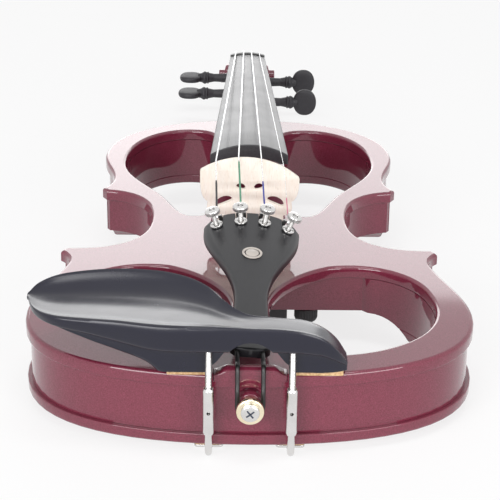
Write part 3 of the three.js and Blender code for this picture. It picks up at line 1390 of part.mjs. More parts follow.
function chinClamp(name, side) {
  const place = (geometry) => geometry.translate(side * clampX, clampY, 0);
  add(`clamp_rod_${name}`, place(rod(rodRadius, barrelTop - rodEngage, rodTop, 12)), nickel);
  const bore = rodRadius + clearance;
  const barrel = turned([
    [bore, barrelBottom], [barrelRadius * barrelEndShare, barrelBottom], [barrelRadius, barrelBottom + barrelRadius],
    [barrelRadius, barrelTop - barrelRadius], [barrelRadius * barrelEndShare, barrelTop], [bore, barrelTop],
    [bore, barrelBottom],
  ], 14);
  const keyHole = solid(rod(barrelHoleRadius, -overrun, overrun, 8).rotateX(90 * deg)
    .translate(0, 0, (barrelTop + barrelBottom) / 2));
  add(`clamp_barrel_${name}`, place(geometryOf(solid(barrel).subtract(keyHole))), nickel);

  const padTop = -footCork - 2 * glueLine;
  const padMiddle = padTop - footPadThick / 2;
  const bend = footBendShares.map((share) => {
    const turn = share * 90 * deg;
    return new THREE.Vector3(0, footBend * (1 - Math.cos(turn)), padMiddle + footBend * (1 - Math.sin(turn)));
  });
  const lower = [new THREE.Vector3(0, 0, barrelBottom + rodEngage), ...bend,
    new THREE.Vector3(0, -clampY + footPadStart + footPadRound, padMiddle)];
  const pad = new THREE.Shape();
  const [from, to] = [-clampY + footPadStart, -clampY + footPadStart + footPadLength];
  pad.moveTo(-footPadWidth / 2 + footPadRound, from);
  pad.lineTo(footPadWidth / 2 - footPadRound, from);
  pad.quadraticCurveTo(footPadWidth / 2, from, footPadWidth / 2, from + footPadRound);
  pad.lineTo(footPadWidth / 2, to - footPadRound);
  pad.quadraticCurveTo(footPadWidth / 2, to, footPadWidth / 2 - footPadRound, to);
  pad.lineTo(-footPadWidth / 2 + footPadRound, to);
  pad.quadraticCurveTo(-footPadWidth / 2, to, -footPadWidth / 2, to - footPadRound);
  pad.lineTo(-footPadWidth / 2, from + footPadRound);
  pad.quadraticCurveTo(-footPadWidth / 2, from, -footPadWidth / 2 + footPadRound, from);
  const plate = upZ(pad, padTop - footPadThick, padTop, { curveSegments: 3 });
  const trimmed = solid(wire(lower, rodRadius, 10))
    .subtract(solid(box(-footPadWidth, footPadWidth, from - clearance, to, padTop, overrun)));
  add(`clamp_foot_${name}`, place(geometryOf(trimmed.add(solid(plate)))), nickel);
  add(`clamp_cork_${name}`, place(upZ(pad, padTop + glueLine, -glueLine, { curveSegments: 3 })), cork);
}

// Electronics under the waist

const boxTop = scoopDepth - glueLine;
const boxBottom = boxTop - boxThick;
const batteryStart = boxBottom + doorThick + clearance;
const windowHalfX = batteryWidth / 2 + clearance;
const windowHalfY = batteryLength / 2 + clearance;

function electronics() {
  const plan = new THREE.Shape([
    new THREE.Vector2(boxLeft, boxStart), new THREE.Vector2(boxRight, boxStart),
    new THREE.Vector2(boxRight, boxStart + boxLength), new THREE.Vector2(boxLeft, boxStart + boxLength),
  ]);
  const window = solid(box(batteryX - windowHalfX, batteryX + windowHalfX, batteryY - windowHalfY,
    batteryY + windowHalfY, -overrun, topZ));
  const switchSeat = solid(box(switchX - switchLength / 2 - clearance, switchX + switchLength / 2 + switchTravel + clearance,
    switchY - switchWidth / 2 - clearance, switchY + switchWidth / 2 + clearance, -overrun, boxBottom + 2 * switchRise));
  const jackHole = solid(rod(jackRadius + clearance, -overrun, overrun, 20).translate(jackX, jackY, 0));
  const phonesHole = solid(rod(phonesJackRadius + clearance, -overrun, overrun, 16).translate(phonesJackX, jackY, 0));
  const housing = easedBelow(plan, boxBottom, boxTop, boxRound)
    .subtract(window).subtract(switchSeat).subtract(jackHole).subtract(phonesHole);
  add('control_box', housing, blackPlastic);

  const cell = solid(box(batteryX - batteryWidth / 2, batteryX + batteryWidth / 2,
    batteryY - batteryLength / 2, batteryY + batteryLength / 2 - batteryContactRise,
    batteryStart, batteryStart + batteryThick));
  const contact = (share) => solid(rod(batteryContact, 0, batteryContactRise, 12).rotateX(-90 * deg)
    .translate(batteryX + share * batteryWidth, batteryY + batteryLength / 2 - batteryContactRise - glueLine,
      batteryStart + batteryThick / 2));
  add('battery', cell.add(contact(-0.25)).add(contact(0.25)), cellAlloy);

  const door = new THREE.Shape();
  const knuckle = doorThick / 2;
  const hinge = batteryX - windowHalfX + clearance + knuckle;
  door.absarc(hinge, boxBottom + knuckle, knuckle, 90 * deg, 270 * deg);
  door.lineTo(batteryX + windowHalfX - clearance, boxBottom);
  door.lineTo(batteryX + windowHalfX - clearance, boxBottom + doorThick);
  add('battery_door', alongY(door, batteryY - windowHalfY + clearance, batteryY + windowHalfY - clearance,
    { curveSegments: 6 }), blackPlastic);

  add('power_switch', box(switchX - switchLength / 2, switchX + switchLength / 2, switchY - switchWidth / 2,
    switchY + switchWidth / 2, boxBottom - switchRise / 2, boxBottom + 2 * switchRise - clearance), nickel);

  const socket = (radius, bore, length, sides) => turned([
    [bore, boxBottom - jackRim], [radius, boxBottom - jackRim], [radius, boxBottom + length],
    [0, boxBottom + length], [0, boxBottom + length - jackRim], [bore, boxBottom + length - jackRim],
    [bore, boxBottom - jackRim],
  ], sides);
  add('output_jack', socket(jackRadius, jackBore, jackLength, 20).translate(jackX, jackY, 0), nickel);
  add('phones_jack', socket(phonesJackRadius, phonesJackBore, phonesJackLength, 16)
    .translate(phonesJackX, jackY, 0), nickel);
}

function controlKnob(name, y) {
  const top = scoopDepth - controlStem;
  const low = top - controlKnobThick;
  let knob = solid(turned([
    [0, low], [controlKnobRadius * 0.85, low], [controlKnobRadius, low + controlKnobThick * 0.15],
    [controlKnobRadius, top], [controlStemRadius, top], [controlStemRadius, scoopDepth - clearance],
    [0, scoopDepth - clearance],
  ], 16));
  for (let i = 0; i < controlGrips; i += 1) {
    const turn = (i / controlGrips) * 2 * Math.PI;
    const groove = rod(controlGripRadius, low - overrun, top - controlGripRadius, 6)
      .translate(controlKnobRadius * Math.cos(turn), controlKnobRadius * Math.sin(turn), 0);
    knob = knob.subtract(solid(groove));
  }
  add(name, geometryOf(knob).translate(controlKnobX, y, 0), blackPlastic);
}

const tunerFrames = [];

body();
fingerboard();
nut();
neck();
for (const name of stringNames) peg(name);
bridge();
tailpiece();
inlays();
for (const place of tunerPlaces) tunerFrames.push(tuner(place));
violin.updateMatrixWorld(true);
stringNames.forEach(string);
saddle();
tailgut();
endButton();
chinRest();
chinClamp('left', -1);
chinClamp('right', 1);
electronics();
controlKnob('volume_knob', controlKnobY);
controlKnob('tone_knob', controlKnobY + controlSpacing);

// The violin lies on the back of its scroll and on the feet of the chin rest's clamp.
const footLow = -footCork - 2 * glueLine - footPadThick;
violin.rotation.x = Math.atan2(footLow - scrollLow, scrollEyeY - footPadStart);

// The origin is the middle of the whole violin, on the plane that it lies on.
violin.updateMatrixWorld(true);
const reach = new THREE.Box3().setFromObject(violin, true);
const middle = reach.getCenter(new THREE.Vector3());
violin.position.set(-middle.x, -middle.y, -reach.min.z);
violin.updateMatrixWorld(true);

export default violin;
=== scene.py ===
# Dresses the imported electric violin: lacquered body, strings, tuners, chin rest and a pale studio.
from math import acos, asin, atan2, copysign, cos, pi, radians, sin, sqrt
from types import SimpleNamespace
import bmesh
import bpy
from mathutils import Matrix, Vector
from mathutils.geometry import tessellate_polygon


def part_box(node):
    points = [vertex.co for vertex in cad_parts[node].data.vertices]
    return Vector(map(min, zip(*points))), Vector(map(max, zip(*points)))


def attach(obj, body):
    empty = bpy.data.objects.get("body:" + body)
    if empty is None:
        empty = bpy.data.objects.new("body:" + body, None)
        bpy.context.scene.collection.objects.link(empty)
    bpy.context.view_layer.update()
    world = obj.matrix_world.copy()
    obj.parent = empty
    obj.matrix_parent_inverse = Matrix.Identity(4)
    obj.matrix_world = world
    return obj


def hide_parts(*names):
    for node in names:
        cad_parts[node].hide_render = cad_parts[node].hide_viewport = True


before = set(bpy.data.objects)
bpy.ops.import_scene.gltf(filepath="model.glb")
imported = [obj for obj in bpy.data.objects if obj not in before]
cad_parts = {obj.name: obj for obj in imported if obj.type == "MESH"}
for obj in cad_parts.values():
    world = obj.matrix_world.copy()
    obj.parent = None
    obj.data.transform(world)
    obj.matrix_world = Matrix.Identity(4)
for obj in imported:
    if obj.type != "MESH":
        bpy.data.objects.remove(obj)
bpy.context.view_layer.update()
scene = bpy.context.scene
print("frame loaded:", len(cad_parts), "nodes")

# The violin is drawn in millimetres: x to the treble side, y from the tail edge, z from the back plate.
violin = {"length": 356, "depth": 34.6, "tiltRise": 19.5, "tiltRun": 568, "bridgeY": 161, "stringLength": 328,
          "pickupHalf": 1.1}
bodyLength, topZ, bridgeY = violin["length"], violin["depth"], violin["bridgeY"]
nutY = bridgeY + violin["stringLength"]
turn = Matrix.Rotation(atan2(violin["tiltRise"], violin["tiltRun"]), 4, "X")
low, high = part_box("pickup")
middle = turn @ Vector((0, bridgeY, topZ - violin["pickupHalf"])) / 1000
toRow = Matrix.Translation((low + high) / 2 - middle) @ turn @ Matrix.Scale(0.001, 4)
xAxis, zAxis = Vector((1, 0, 0)), Vector((0, 0, 1))
joinDistance = 1e-5  # points nearer than this are one
levelLimit = 0.9998  # a face whose normal's z is over this lies level
past = 20  # how far a cutting tool stands out past what it cuts
slack = 0.3  # gap round what sits in a hole or on a shaft
joint = 0.1  # gap between faces that are glued together or rest on each other

# Camera
cameraValues = {"place": (-6.5, -647.3, 361.1), "pitch": 22.47, "yaw": 0.5, "roll": 0.71, "lens": 120.63,
                "sensor": 36, "near": 0.01}


def addCamera(values):
    pitch, yaw, roll = (radians(values[key]) for key in ("pitch", "yaw", "roll"))
    ahead = Vector((sin(yaw) * cos(pitch), cos(yaw) * cos(pitch), -sin(pitch)))
    right = Vector((cos(yaw), -sin(yaw), 0))
    up = right.cross(ahead)
    right, up = right * cos(roll) + up * sin(roll), up * cos(roll) - right * sin(roll)
    data = bpy.data.cameras.new("camera")
    data.lens, data.sensor_width, data.clip_start = values["lens"], values["sensor"], values["near"]
    camera = bpy.data.objects.new("camera", data)
    scene.collection.objects.link(camera)
    axes = Matrix((right, up, -ahead)).transposed().to_4x4()
    camera.matrix_world = Matrix.Translation(toRow @ Vector(values["place"])) @ turn @ axes
    scene.camera = camera


addCamera(cameraValues)
print("camera placed")


# Meshes
def mix(a, b, share):
    return a + (b - a) * share


def shift(x=0, y=0, z=0):
    return Matrix.Translation((x, y, z))


def spin(degrees, axis):
    return Matrix.Rotation(radians(degrees), 4, axis)


def shadeMesh(mesh, angle=35, level=False):  # the edges of level faces stay crisp if asked
    work = bmesh.new()
    work.from_mesh(mesh)
    for face in work.faces:
        face.smooth = True
    for edge in work.edges:
        sharp = False
        if len(edge.link_faces) == 2:
            a, b = (face.normal for face in edge.link_faces)
            sharp = a.length > 0 and b.length > 0 and a.angle(b, 0) > radians(angle)
            sharp = sharp or level and (abs(a.z) > levelLimit) != (abs(b.z) > levelLimit)
        edge.smooth = not sharp
    work.to_mesh(mesh)
    work.free()
    return mesh


def turnedOut(mesh, join=True):  # faces turned outward, doubled points joined
    work = bmesh.new()
    work.from_mesh(mesh)
    if join:
        bmesh.ops.remove_doubles(work, verts=work.verts, dist=joinDistance)
    bmesh.ops.recalc_face_normals(work, faces=work.faces)
    work.to_mesh(mesh)
    work.free()
    return mesh


def newMesh(name, points, faces, angle=35, level=False):
    mesh = bpy.data.meshes.new(name)
    mesh.from_pydata([tuple(point) for point in points], [], faces)
    return shadeMesh(turnedOut(mesh), angle, level)


def asObject(mesh):
    made = bpy.data.objects.new(mesh.name, mesh)
    scene.collection.objects.link(made)
    return made


def baked(obj):  # plain mesh of an object with its modifiers worked out
    bpy.context.view_layer.update()
    graph = bpy.context.evaluated_depsgraph_get()
    mesh = bpy.data.meshes.new_from_object(obj.evaluated_get(graph))
    mesh.name = obj.name
    bpy.data.objects.remove(obj)
    return mesh


def carve(mesh, tools, angle=35, level=False):
    target = asObject(mesh)
    helpers = [asObject(tool) for tool in tools]
    for helper in helpers:
        change = target.modifiers.new("change", "BOOLEAN")
        change.operation, change.solver, change.object = "DIFFERENCE", "EXACT", helper
    done = baked(target)
    for helper in helpers:
        bpy.data.objects.remove(helper)
    return shadeMesh(done, angle, level)


def boxMesh(x0, x1, y0, y1, z0, z1):
    points = [(x, y, z) for z in (z0, z1) for y in (y0, y1) for x in (x0, x1)]
    faces = [(0, 2, 3, 1), (4, 5, 7, 6), (0, 1, 5, 4), (2, 6, 7, 3), (0, 4, 6, 2), (1, 3, 7, 5)]
    return newMesh("box", points, faces)


def ringFaces(rings, count, start=0):
    faces = []
    for ring in range(rings - 1):
        for i in range(count):
            a, b = start + ring * count + i, start + ring * count + (i + 1) % count
            faces.append((a, b, b + count, a + count))
    return faces


def loftMesh(name, rings, angle=35):
    count = len(rings[0])
    faces = ringFaces(len(rings), count)
    faces.append(tuple(reversed(range(count))))
    faces.append(tuple((len(rings) - 1) * count + i for i in range(count)))
    return newMesh(name, [point for ring in rings for point in ring], faces, angle)


def latheMesh(name, profile, sides, place=Matrix.Identity(4), angle=35):
    points, faces, rows = [], [], []
    for radius, height in profile:
        if radius == 0:
            rows.append([len(points)])
            points.append(place @ Vector((0, 0, height)))
        else:
            rows.append(list(range(len(points), len(points) + sides)))
            for i in range(sides):
                a = 2 * pi * i / sides
                points.append(place @ Vector((radius * cos(a), radius * sin(a), height)))
    for one, two in zip(rows, rows[1:]):
        for i in range(sides):
            a, b = one[i % len(one)], one[(i + 1) % len(one)]
            c, d = two[(i + 1) % len(two)], two[i % len(two)]
            face = tuple(dict.fromkeys((a, b, c, d)))
            if len(face) > 2:
                faces.append(face)
    return newMesh(name, points, faces, angle)


def rodMesh(radius, z0, z1, sides=24, place=Matrix.Identity(4)):
    return latheMesh("rod", [(0, z0), (radius, z0), (radius, z1), (0, z1)], sides, place)


def eased(a, at, b, steps):  # a curve from a to b that leans to the corner between them
    return [a * (1 - t) ** 2 + at * 2 * t * (1 - t) + b * t * t
            for t in (k / steps for k in range(steps + 1))]


def rounded(profile, bend=0.4, steps=3):  # softens each corner of a profile
    out = [profile[0]]
    for before, at, after in zip(profile, profile[1:], profile[2:]):
        at = Vector(at)
        into, away = Vector(before) - at, Vector(after) - at
        reach = min(bend, into.length / 2.2, away.length / 2.2)
        curve = eased(at + into.normalized() * reach, at, at + away.normalized() * reach, steps)
        out += [tuple(point) for point in curve]
    return out + [profile[-1]]


def softLoop(loop, corners, steps=4):  # rounds the corners named by index, each by its own reach
    out = []
    for i, at in enumerate(loop):
        if i not in corners:
            out.append(at)
            continue
        into, away = loop[i - 1] - at, loop[(i + 1) % len(loop)] - at
        a = at + into.normalized() * min(corners[i], into.length * 0.48)
        b = at + away.normalized() * min(corners[i], away.length * 0.48)
        out += eased(a, at, b, steps)
    return out


def insetLoop(loop, distance):  # moves a loop to its left
    out = []
    for i, point in enumerate(loop):
        into = (point - loop[i - 1]).normalized()
        away = (loop[(i + 1) % len(loop)] - point).normalized()
        side = Vector((-into.y - away.y, into.x + away.x)).normalized()
        out.append(point + side * (distance / max(side.dot(Vector((-into.y, into.x))), 0.5)))
    return out


def slabMesh(name, edge, holes, levels):  # levels: (height, inset) from one face to the other
    loops = [wound(edge)] + [wound(hole, True) for hole in holes]
    points, faces, starts = [], [], []
    for loop in loops:
        starts.append(len(points))
        for height, inset in levels:
            points += [Vector((p.x, p.y, height)) for p in insetLoop(loop, inset)]
        faces += ringFaces(len(levels), len(loop), starts[-1])
    for level in (0, len(levels) - 1):
        rims = [[start + level * len(loop) + i for i in range(len(loop))]
                for start, loop in zip(starts, loops)]
        order = [i for rim in rims for i in rim]
        for face in tessellate_polygon([[points[i] for i in rim] for rim in rims]):
            faces.append(tuple(order[i] for i in face))
    return newMesh(name, points, faces, level=True)


def easedLevels(low, high, below, above, steps=5):  # rounds the edges of both faces
    bends = [(sin(a), cos(a)) for a in (pi / 2 * i / steps for i in range(steps + 1))]
    return ([(low + below * (1 - c), below * (1 - s)) for s, c in bends]
            + [(high - above * (1 - s), above * (1 - c)) for s, c in bends])


def wound(loop, clockwise=False):
    area = sum(a.x * b.y - b.x * a.y for a, b in zip(loop, loop[1:] + loop[:1]))
    return list(reversed(loop)) if (area < 0) != clockwise else list(loop)


def stoodUp(mesh, how):  # maps a mesh drawn flat into the place that how(point) gives
    for vertex in mesh.vertices:
        vertex.co = how(vertex.co)
    mesh.update()


def tubeMesh(name, points, radius, sides, angle=60):  # radius is a function of the share of the way
    rings, across = [], None
    for i, point in enumerate(points):
        ahead = (points[min(i + 1, len(points) - 1)] - points[max(i - 1, 0)]).normalized()
        if across is None:
            across = xAxis if abs(ahead.x) < 0.9 else zAxis
        across = (across - ahead * across.dot(ahead)).normalized()
        up = ahead.cross(across)
        wide = radius(i / (len(points) - 1))
        rings.append([point + (across * cos(a) + up * sin(a)) * wide
                      for a in (2 * pi * k / sides for k in range(sides))])
    return loftMesh(name, rings, angle)


def bezier(a, b, c, d, t):
    return a * (1 - t) ** 3 + b * 3 * t * (1 - t) ** 2 + c * 3 * t * t * (1 - t) + d * t ** 3


def pathPoints(start, rows, steps):  # rows: one point for a straight, three for a curve
    out = [Vector(start)]
    for row in rows:
        row = [Vector(point) for point in row]
        if len(row) == 1:
            out.append(row[0])
        else:
            here = out[-1]
            out += [bezier(here, *row, i / steps) for i in range(1, steps + 1)]
    return out


def smoothed(points, steps, closed=False):  # a curve through every point
    out, count = [], len(points)
    for i in range(count if closed else count - 1):
        near = [(i + k) % count if closed else min(max(i + k, 0), count - 1) for k in (-1, 0, 1, 2)]
        p = [points[k] for k in near]
        for t in (s / steps for s in range(steps)):
            out.append(((2 * p[1]) + (p[2] - p[0]) * t + (2 * p[0] - 5 * p[1] + 4 * p[2] - p[3]) * t * t
                        + (3 * p[1] - p[0] - 3 * p[2] + p[3]) * t ** 3) * 0.5)
    return out if closed else out + [points[-1]]


def merged(name, meshes):  # several closed shells as one mesh
    points, faces, sharp = [], [], set()
    for mesh in meshes:
        start = len(points)
        points += [tuple(vertex.co) for vertex in mesh.vertices]
        faces += [tuple(start + i for i in face.vertices) for face in mesh.polygons]
        sharp |= {tuple(sorted((start + edge.vertices[0], start + edge.vertices[1])))
                  for edge in mesh.edges if edge.use_edge_sharp}
    out = bpy.data.meshes.new(name)
    out.from_pydata(points, [], faces)
    for face in out.polygons:
        face.use_smooth = True
    for edge in out.edges:
        edge.use_edge_sharp = tuple(sorted(edge.vertices)) in sharp
    return out


def addPiece(name, mesh, material, rides="violin", nodes=(), matrix=Matrix.Identity(4)):
    mesh.transform(matrix)
    mesh.transform(toRow)
    mesh.name = name
    mesh.materials.clear()
    mesh.materials.append(material)
    piece = asObject(mesh)
    piece.name = name + "Shape"
    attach(piece, rides)
    if nodes:
        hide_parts(*nodes)
    return piece


# Node trees
socketKinds = {int: "NodeSocketInt", float: "NodeSocketFloat"}


def newTree(name, kind, inputs, outputs, result="NodeSocketFloat"):  # inputs: a number, or a kind of socket
    tree = bpy.data.node_groups.new(name, kind)
    for label, value in inputs.items():
        number = socketKinds.get(type(value))
        socket = tree.interface.new_socket(label, in_out="INPUT", socket_type=number or value)
        if number:
            socket.default_value = value
    for label in outputs:
        tree.interface.new_socket(label, in_out="OUTPUT", socket_type=result)
    return tree, tree.nodes.new("NodeGroupInput").outputs, tree.nodes.new("NodeGroupOutput").inputs


def link(tree, a, b):
    tree.links.new(a, b)


def feed(tree, kind, inputs=(), output=0, **settings):  # adds a node and gives one of its outputs
    node = tree.nodes.new(kind)
    for label, value in settings.items():
        setattr(node, label, value)
    for label, value in dict(inputs).items():
        if isinstance(value, bpy.types.NodeSocket):
            link(tree, value, node.inputs[label])
        else:
            node.inputs[label].default_value = value
    return node.outputs[output]


def makeGrain():  # long fibres along y, with pores
    tree, into, out = newTree("woodGrain", "ShaderNodeTree",
                              {"Across": 900.0, "Along": 25.0, "Up": 900.0, "Pores": 0.5}, ["Fibre", "Pore"])
    scale = feed(tree, "ShaderNodeCombineXYZ", {"X": into["Across"], "Y": into["Along"], "Z": into["Up"]})
    place = feed(tree, "ShaderNodeTexCoord", output="Object")
    stretch = feed(tree, "ShaderNodeVectorMath", {0: place, 1: scale}, operation="MULTIPLY")
    fibre = feed(tree, "ShaderNodeTexNoise", {"Scale": 1, "Detail": 4, "Roughness": 0.6, "Vector": stretch})
    pore = feed(tree, "ShaderNodeTexNoise", {"Scale": 2.3, "Detail": 1, "Vector": stretch})
    spot = feed(tree, "ShaderNodeMapRange", {"From Min": 0.62, "From Max": 0.72, "Value": pore})
    weak = feed(tree, "ShaderNodeMath", {0: spot, 1: into["Pores"]}, operation="MULTIPLY")
    link(tree, fibre, out["Fibre"])
    link(tree, weak, out["Pore"])
    return tree


def makeHandling():  # faint smears and dust that change the gloss
    tree, into, out = newTree("handling", "ShaderNodeTree", {"Base": 0.3, "Spread": 0.1, "Scale": 40.0},
                              ["Roughness", "Mask"])
    place = feed(tree, "ShaderNodeTexCoord", output="Object")
    smear = feed(tree, "ShaderNodeTexNoise", {"Detail": 5, "Distortion": 0.6, "Vector": place,
                                              "Scale": into["Scale"]})
    swing = feed(tree, "ShaderNodeMath", {0: smear, 1: into["Spread"], 2: into["Base"]},
                 operation="MULTIPLY_ADD")
    link(tree, swing, out["Roughness"])
    link(tree, smear, out["Mask"])
    return tree


def makeSpeckle():  # fine flakes or pits
    tree, into, out = newTree("speckle", "ShaderNodeTree", {"Scale": 1500.0, "Contrast": 0.5}, ["Fleck"])
    place = feed(tree, "ShaderNodeTexCoord", output="Object")
    cell = feed(tree, "ShaderNodeTexNoise", {"Detail": 2, "Vector": place, "Scale": into["Scale"]})
    shifted = feed(tree, "ShaderNodeMath", {0: cell, 1: 0.5}, operation="SUBTRACT")
    push = feed(tree, "ShaderNodeMath", {0: shifted, 1: into["Contrast"], 2: 0.5}, operation="MULTIPLY_ADD",
                use_clamp=True)
    link(tree, push, out["Fleck"])
    return tree


grainGroup, handlingGroup, speckleGroup = makeGrain(), makeHandling(), makeSpeckle()
print("shader groups built")


# Materials
def newMaterial(name, **values):
    material = bpy.data.materials.new(name)
    material.use_nodes = True
    tree = material.node_tree
    shader = tree.nodes["Principled BSDF"]
    for socket, value in values.items():
        shader.inputs[socket.replace("_", " ")].default_value = value
    return material, tree, shader


def placeGroup(tree, group, **values):
    node = tree.nodes.new("ShaderNodeGroup")
    node.node_tree = group
    for socket, value in values.items():
        node.inputs[socket].default_value = value
    return node.outputs


def twoTone(tree, factor, dark, light, shader):
    blend = feed(tree, "ShaderNodeMix", {"A": (*dark, 1), "B": (*light, 1), "Factor": factor}, "Result",
                 data_type="RGBA")
    link(tree, blend, shader.inputs["Base Color"])
    return blend


def addFleck(tree, shader, dark, light, scale, contrast):
    fleck = placeGroup(tree, speckleGroup, Scale=scale, Contrast=contrast)["Fleck"]
    twoTone(tree, fleck, dark, light, shader)
    return fleck


def addGloss(tree, shader, base, spread, scale):
    gloss = placeGroup(tree, handlingGroup, Base=base, Spread=spread, Scale=scale)
    link(tree, gloss["Roughness"], shader.inputs["Roughness"])
    return gloss["Mask"]


def addBump(tree, height, shader, strength, distance=0.0002):
    bump = feed(tree, "ShaderNodeBump", {"Strength": strength, "Distance": distance, "Height": height})
    link(tree, bump, shader.inputs["Normal"])


def lacquerMaterial(name, dark, light):
    material, tree, shader = newMaterial(name, Coat_Weight=1.0, Coat_Roughness=0.05, Coat_IOR=1.62,
                                         Specular_IOR_Level=0.05)
    addFleck(tree, shader, dark, light, 2100.0, 1.7)
    addGloss(tree, shader, 0.34, 0.08, 18.0)
    return material


def grainMaterial(name, dark, light, across, along, base, spread, pores, bump=0.15, up=900, poreShade=0.35):
    material, tree, shader = newMaterial(name)
    grain = placeGroup(tree, grainGroup, Across=across, Along=along, Up=up, Pores=pores)
    fibre = twoTone(tree, grain["Fibre"], dark, light, shader)
    poreTone = (*(value * poreShade for value in dark), 1)
    pitted = feed(tree, "ShaderNodeMix", {"A": fibre, "B": poreTone, "Factor": grain["Pore"]}, "Result",
                  data_type="RGBA")
    link(tree, pitted, shader.inputs["Base Color"])
    addGloss(tree, shader, base, spread, 55.0)
    addBump(tree, grain["Fibre"], shader, bump)
    return material


def metalMaterial(name, dark, light, base, spread, scale=120.0):
    material, tree, shader = newMaterial(name, Metallic=1.0)
    twoTone(tree, addGloss(tree, shader, base, spread, scale), dark, light, shader)
    return material


def plainMaterial(name, dark, light, base, spread, scale=900.0, bump=0.1, contrast=1.0):
    material, tree, shader = newMaterial(name)
    fleck = addFleck(tree, shader, dark, light, scale, contrast)
    addGloss(tree, shader, base, spread, 60.0)
    addBump(tree, fleck, shader, bump, 0.0001)
    return material


lacquer = lacquerMaterial("maroonLacquer", (0.1, 0.008, 0.019), (0.24, 0.034, 0.07))
boardWood = grainMaterial("fingerboardWood", (0.012, 0.012, 0.016), (0.045, 0.043, 0.048), 700, 14, 0.31,
                          0.12, 0.7)
blackWood = grainMaterial("tailpieceWood", (0.006, 0.006, 0.008), (0.016, 0.016, 0.019), 900, 30, 0.3, 0.1,
                          0.2, 0.05)
pegWood = grainMaterial("pegWood", (0.012, 0.011, 0.014), (0.03, 0.028, 0.034), 900, 60, 0.5, 0.1, 0.2, 0.08)
maple = grainMaterial("bridgeMaple", (0.86, 0.74, 0.62), (0.95, 0.91, 0.85), 900, 300, 0.45, 0.1, 0.45,
                      0.12, up=150, poreShade=0.8)
boneNut = plainMaterial("blackNut", (0.01, 0.01, 0.01), (0.03, 0.03, 0.03), 0.3, 0.08)
pearl = plainMaterial("pearlInlay", (0.44, 0.39, 0.35), (0.64, 0.59, 0.54), 0.2, 0.1, 300, 0.02)
nickel = metalMaterial("nickelPlate", (0.6, 0.59, 0.58), (0.8, 0.79, 0.78), 0.14, 0.12)
dullNickel = metalMaterial("nickelThread", (0.42, 0.41, 0.4), (0.6, 0.59, 0.58), 0.25, 0.15)
goldBrass = metalMaterial("turnedBrass", (0.8, 0.68, 0.46), (0.94, 0.86, 0.68), 0.16, 0.12)
windSteel = metalMaterial("stringSteel", (0.78, 0.78, 0.79), (0.95, 0.95, 0.95), 0.22, 0.1, 600)
satinBlack = plainMaterial("satinBlack", (0.004, 0.004, 0.012), (0.01, 0.01, 0.024), 0.22, 0.08, 2500, 0.04)
mouldedBlack = plainMaterial("mouldedBlack", (0.01, 0.01, 0.011), (0.03, 0.03, 0.032), 0.5, 0.1, 1800, 0.2)
corkSheet = plainMaterial("corkSheet", (0.42, 0.24, 0.11), (0.78, 0.54, 0.3), 0.8, 0.1, 900, 0.5, 2.2)
gutBlack = plainMaterial("gutBlack", (0.005, 0.005, 0.005), (0.02, 0.02, 0.02), 0.3, 0.1)
# painted shade: a dark blue-grey colour for the film laid in the screw head's cross recess, standing in for
# the shade there
recessShadeFilm = plainMaterial("recessShadeFilm", (0.05, 0.06, 0.09), (0.09, 0.11, 0.16), 0.6, 0.1)
cellCase = metalMaterial("cellCase", (0.35, 0.36, 0.38), (0.5, 0.5, 0.52), 0.3, 0.1)
print("materials ready")


# Geometry Nodes
def newShape(name, inputs):
    inputs = {"Geometry": "NodeSocketGeometry", **inputs, "Material": "NodeSocketMaterial"}
    return newTree(name, "GeometryNodeTree", inputs, ["Geometry"], "NodeSocketGeometry")


def endShape(tree, into, out, shape):
    real = feed(tree, "GeometryNodeRealizeInstances", {"Geometry": shape})
    smooth = feed(tree, "GeometryNodeSetShadeSmooth", {"Geometry": real})
    link(tree, feed(tree, "GeometryNodeSetMaterial", {"Geometry": smooth, "Material": into["Material"]}),
         out["Geometry"])
    return tree


def makeWireTree():  # a round wire along a run of edges
    tree, into, out = newShape("wireAlongPath", {"Radius": 0.4, "Sides": 12})
    curve = feed(tree, "GeometryNodeMeshToCurve", {"Mesh": into["Geometry"]})
    circle = feed(tree, "GeometryNodeCurvePrimitiveCircle", {"Radius": into["Radius"],
                                                             "Resolution": into["Sides"]})
    wire = feed(tree, "GeometryNodeCurveToMesh", {"Curve": curve, "Profile Curve": circle, "Fill Caps": True})
    return endShape(tree, into, out, wire)


def makeRibTree():  # upright ribs round a circle
    tree, into, out = newShape("ribsRoundCircle", {"Count": 24, "Radius": 4.0, "Rib Radius": 0.2,
                                                   "Height": 1.0})
    circle = feed(tree, "GeometryNodeMeshCircle", {"Vertices": into["Count"], "Radius": into["Radius"]})
    rib = feed(tree, "GeometryNodeMeshCylinder", {"Vertices": 8, "Radius": into["Rib Radius"],
                                                  "Depth": into["Height"]})
    spread = feed(tree, "GeometryNodeInstanceOnPoints", {"Points": circle, "Instance": rib})
    return endShape(tree, into, out, spread)


def makeThreadTree():  # rings stacked up z
    tree, into, out = newShape("threadRings", {"Count": 20, "Pitch": 0.7, "Radius": 1.6, "Depth": 0.2})
    step = feed(tree, "ShaderNodeCombineXYZ", {"Z": into["Pitch"]})
    line = feed(tree, "GeometryNodeMeshLine", {"Count": into["Count"], "Offset": step})
    circle = feed(tree, "GeometryNodeCurvePrimitiveCircle", {"Resolution": 20, "Radius": into["Radius"]})
    ridge = feed(tree, "GeometryNodeCurvePrimitiveCircle", {"Resolution": 6, "Radius": into["Depth"]})
    ring = feed(tree, "GeometryNodeCurveToMesh", {"Curve": circle, "Profile Curve": ridge})
    stack = feed(tree, "GeometryNodeInstanceOnPoints", {"Points": line, "Instance": ring})
    return endShape(tree, into, out, stack)


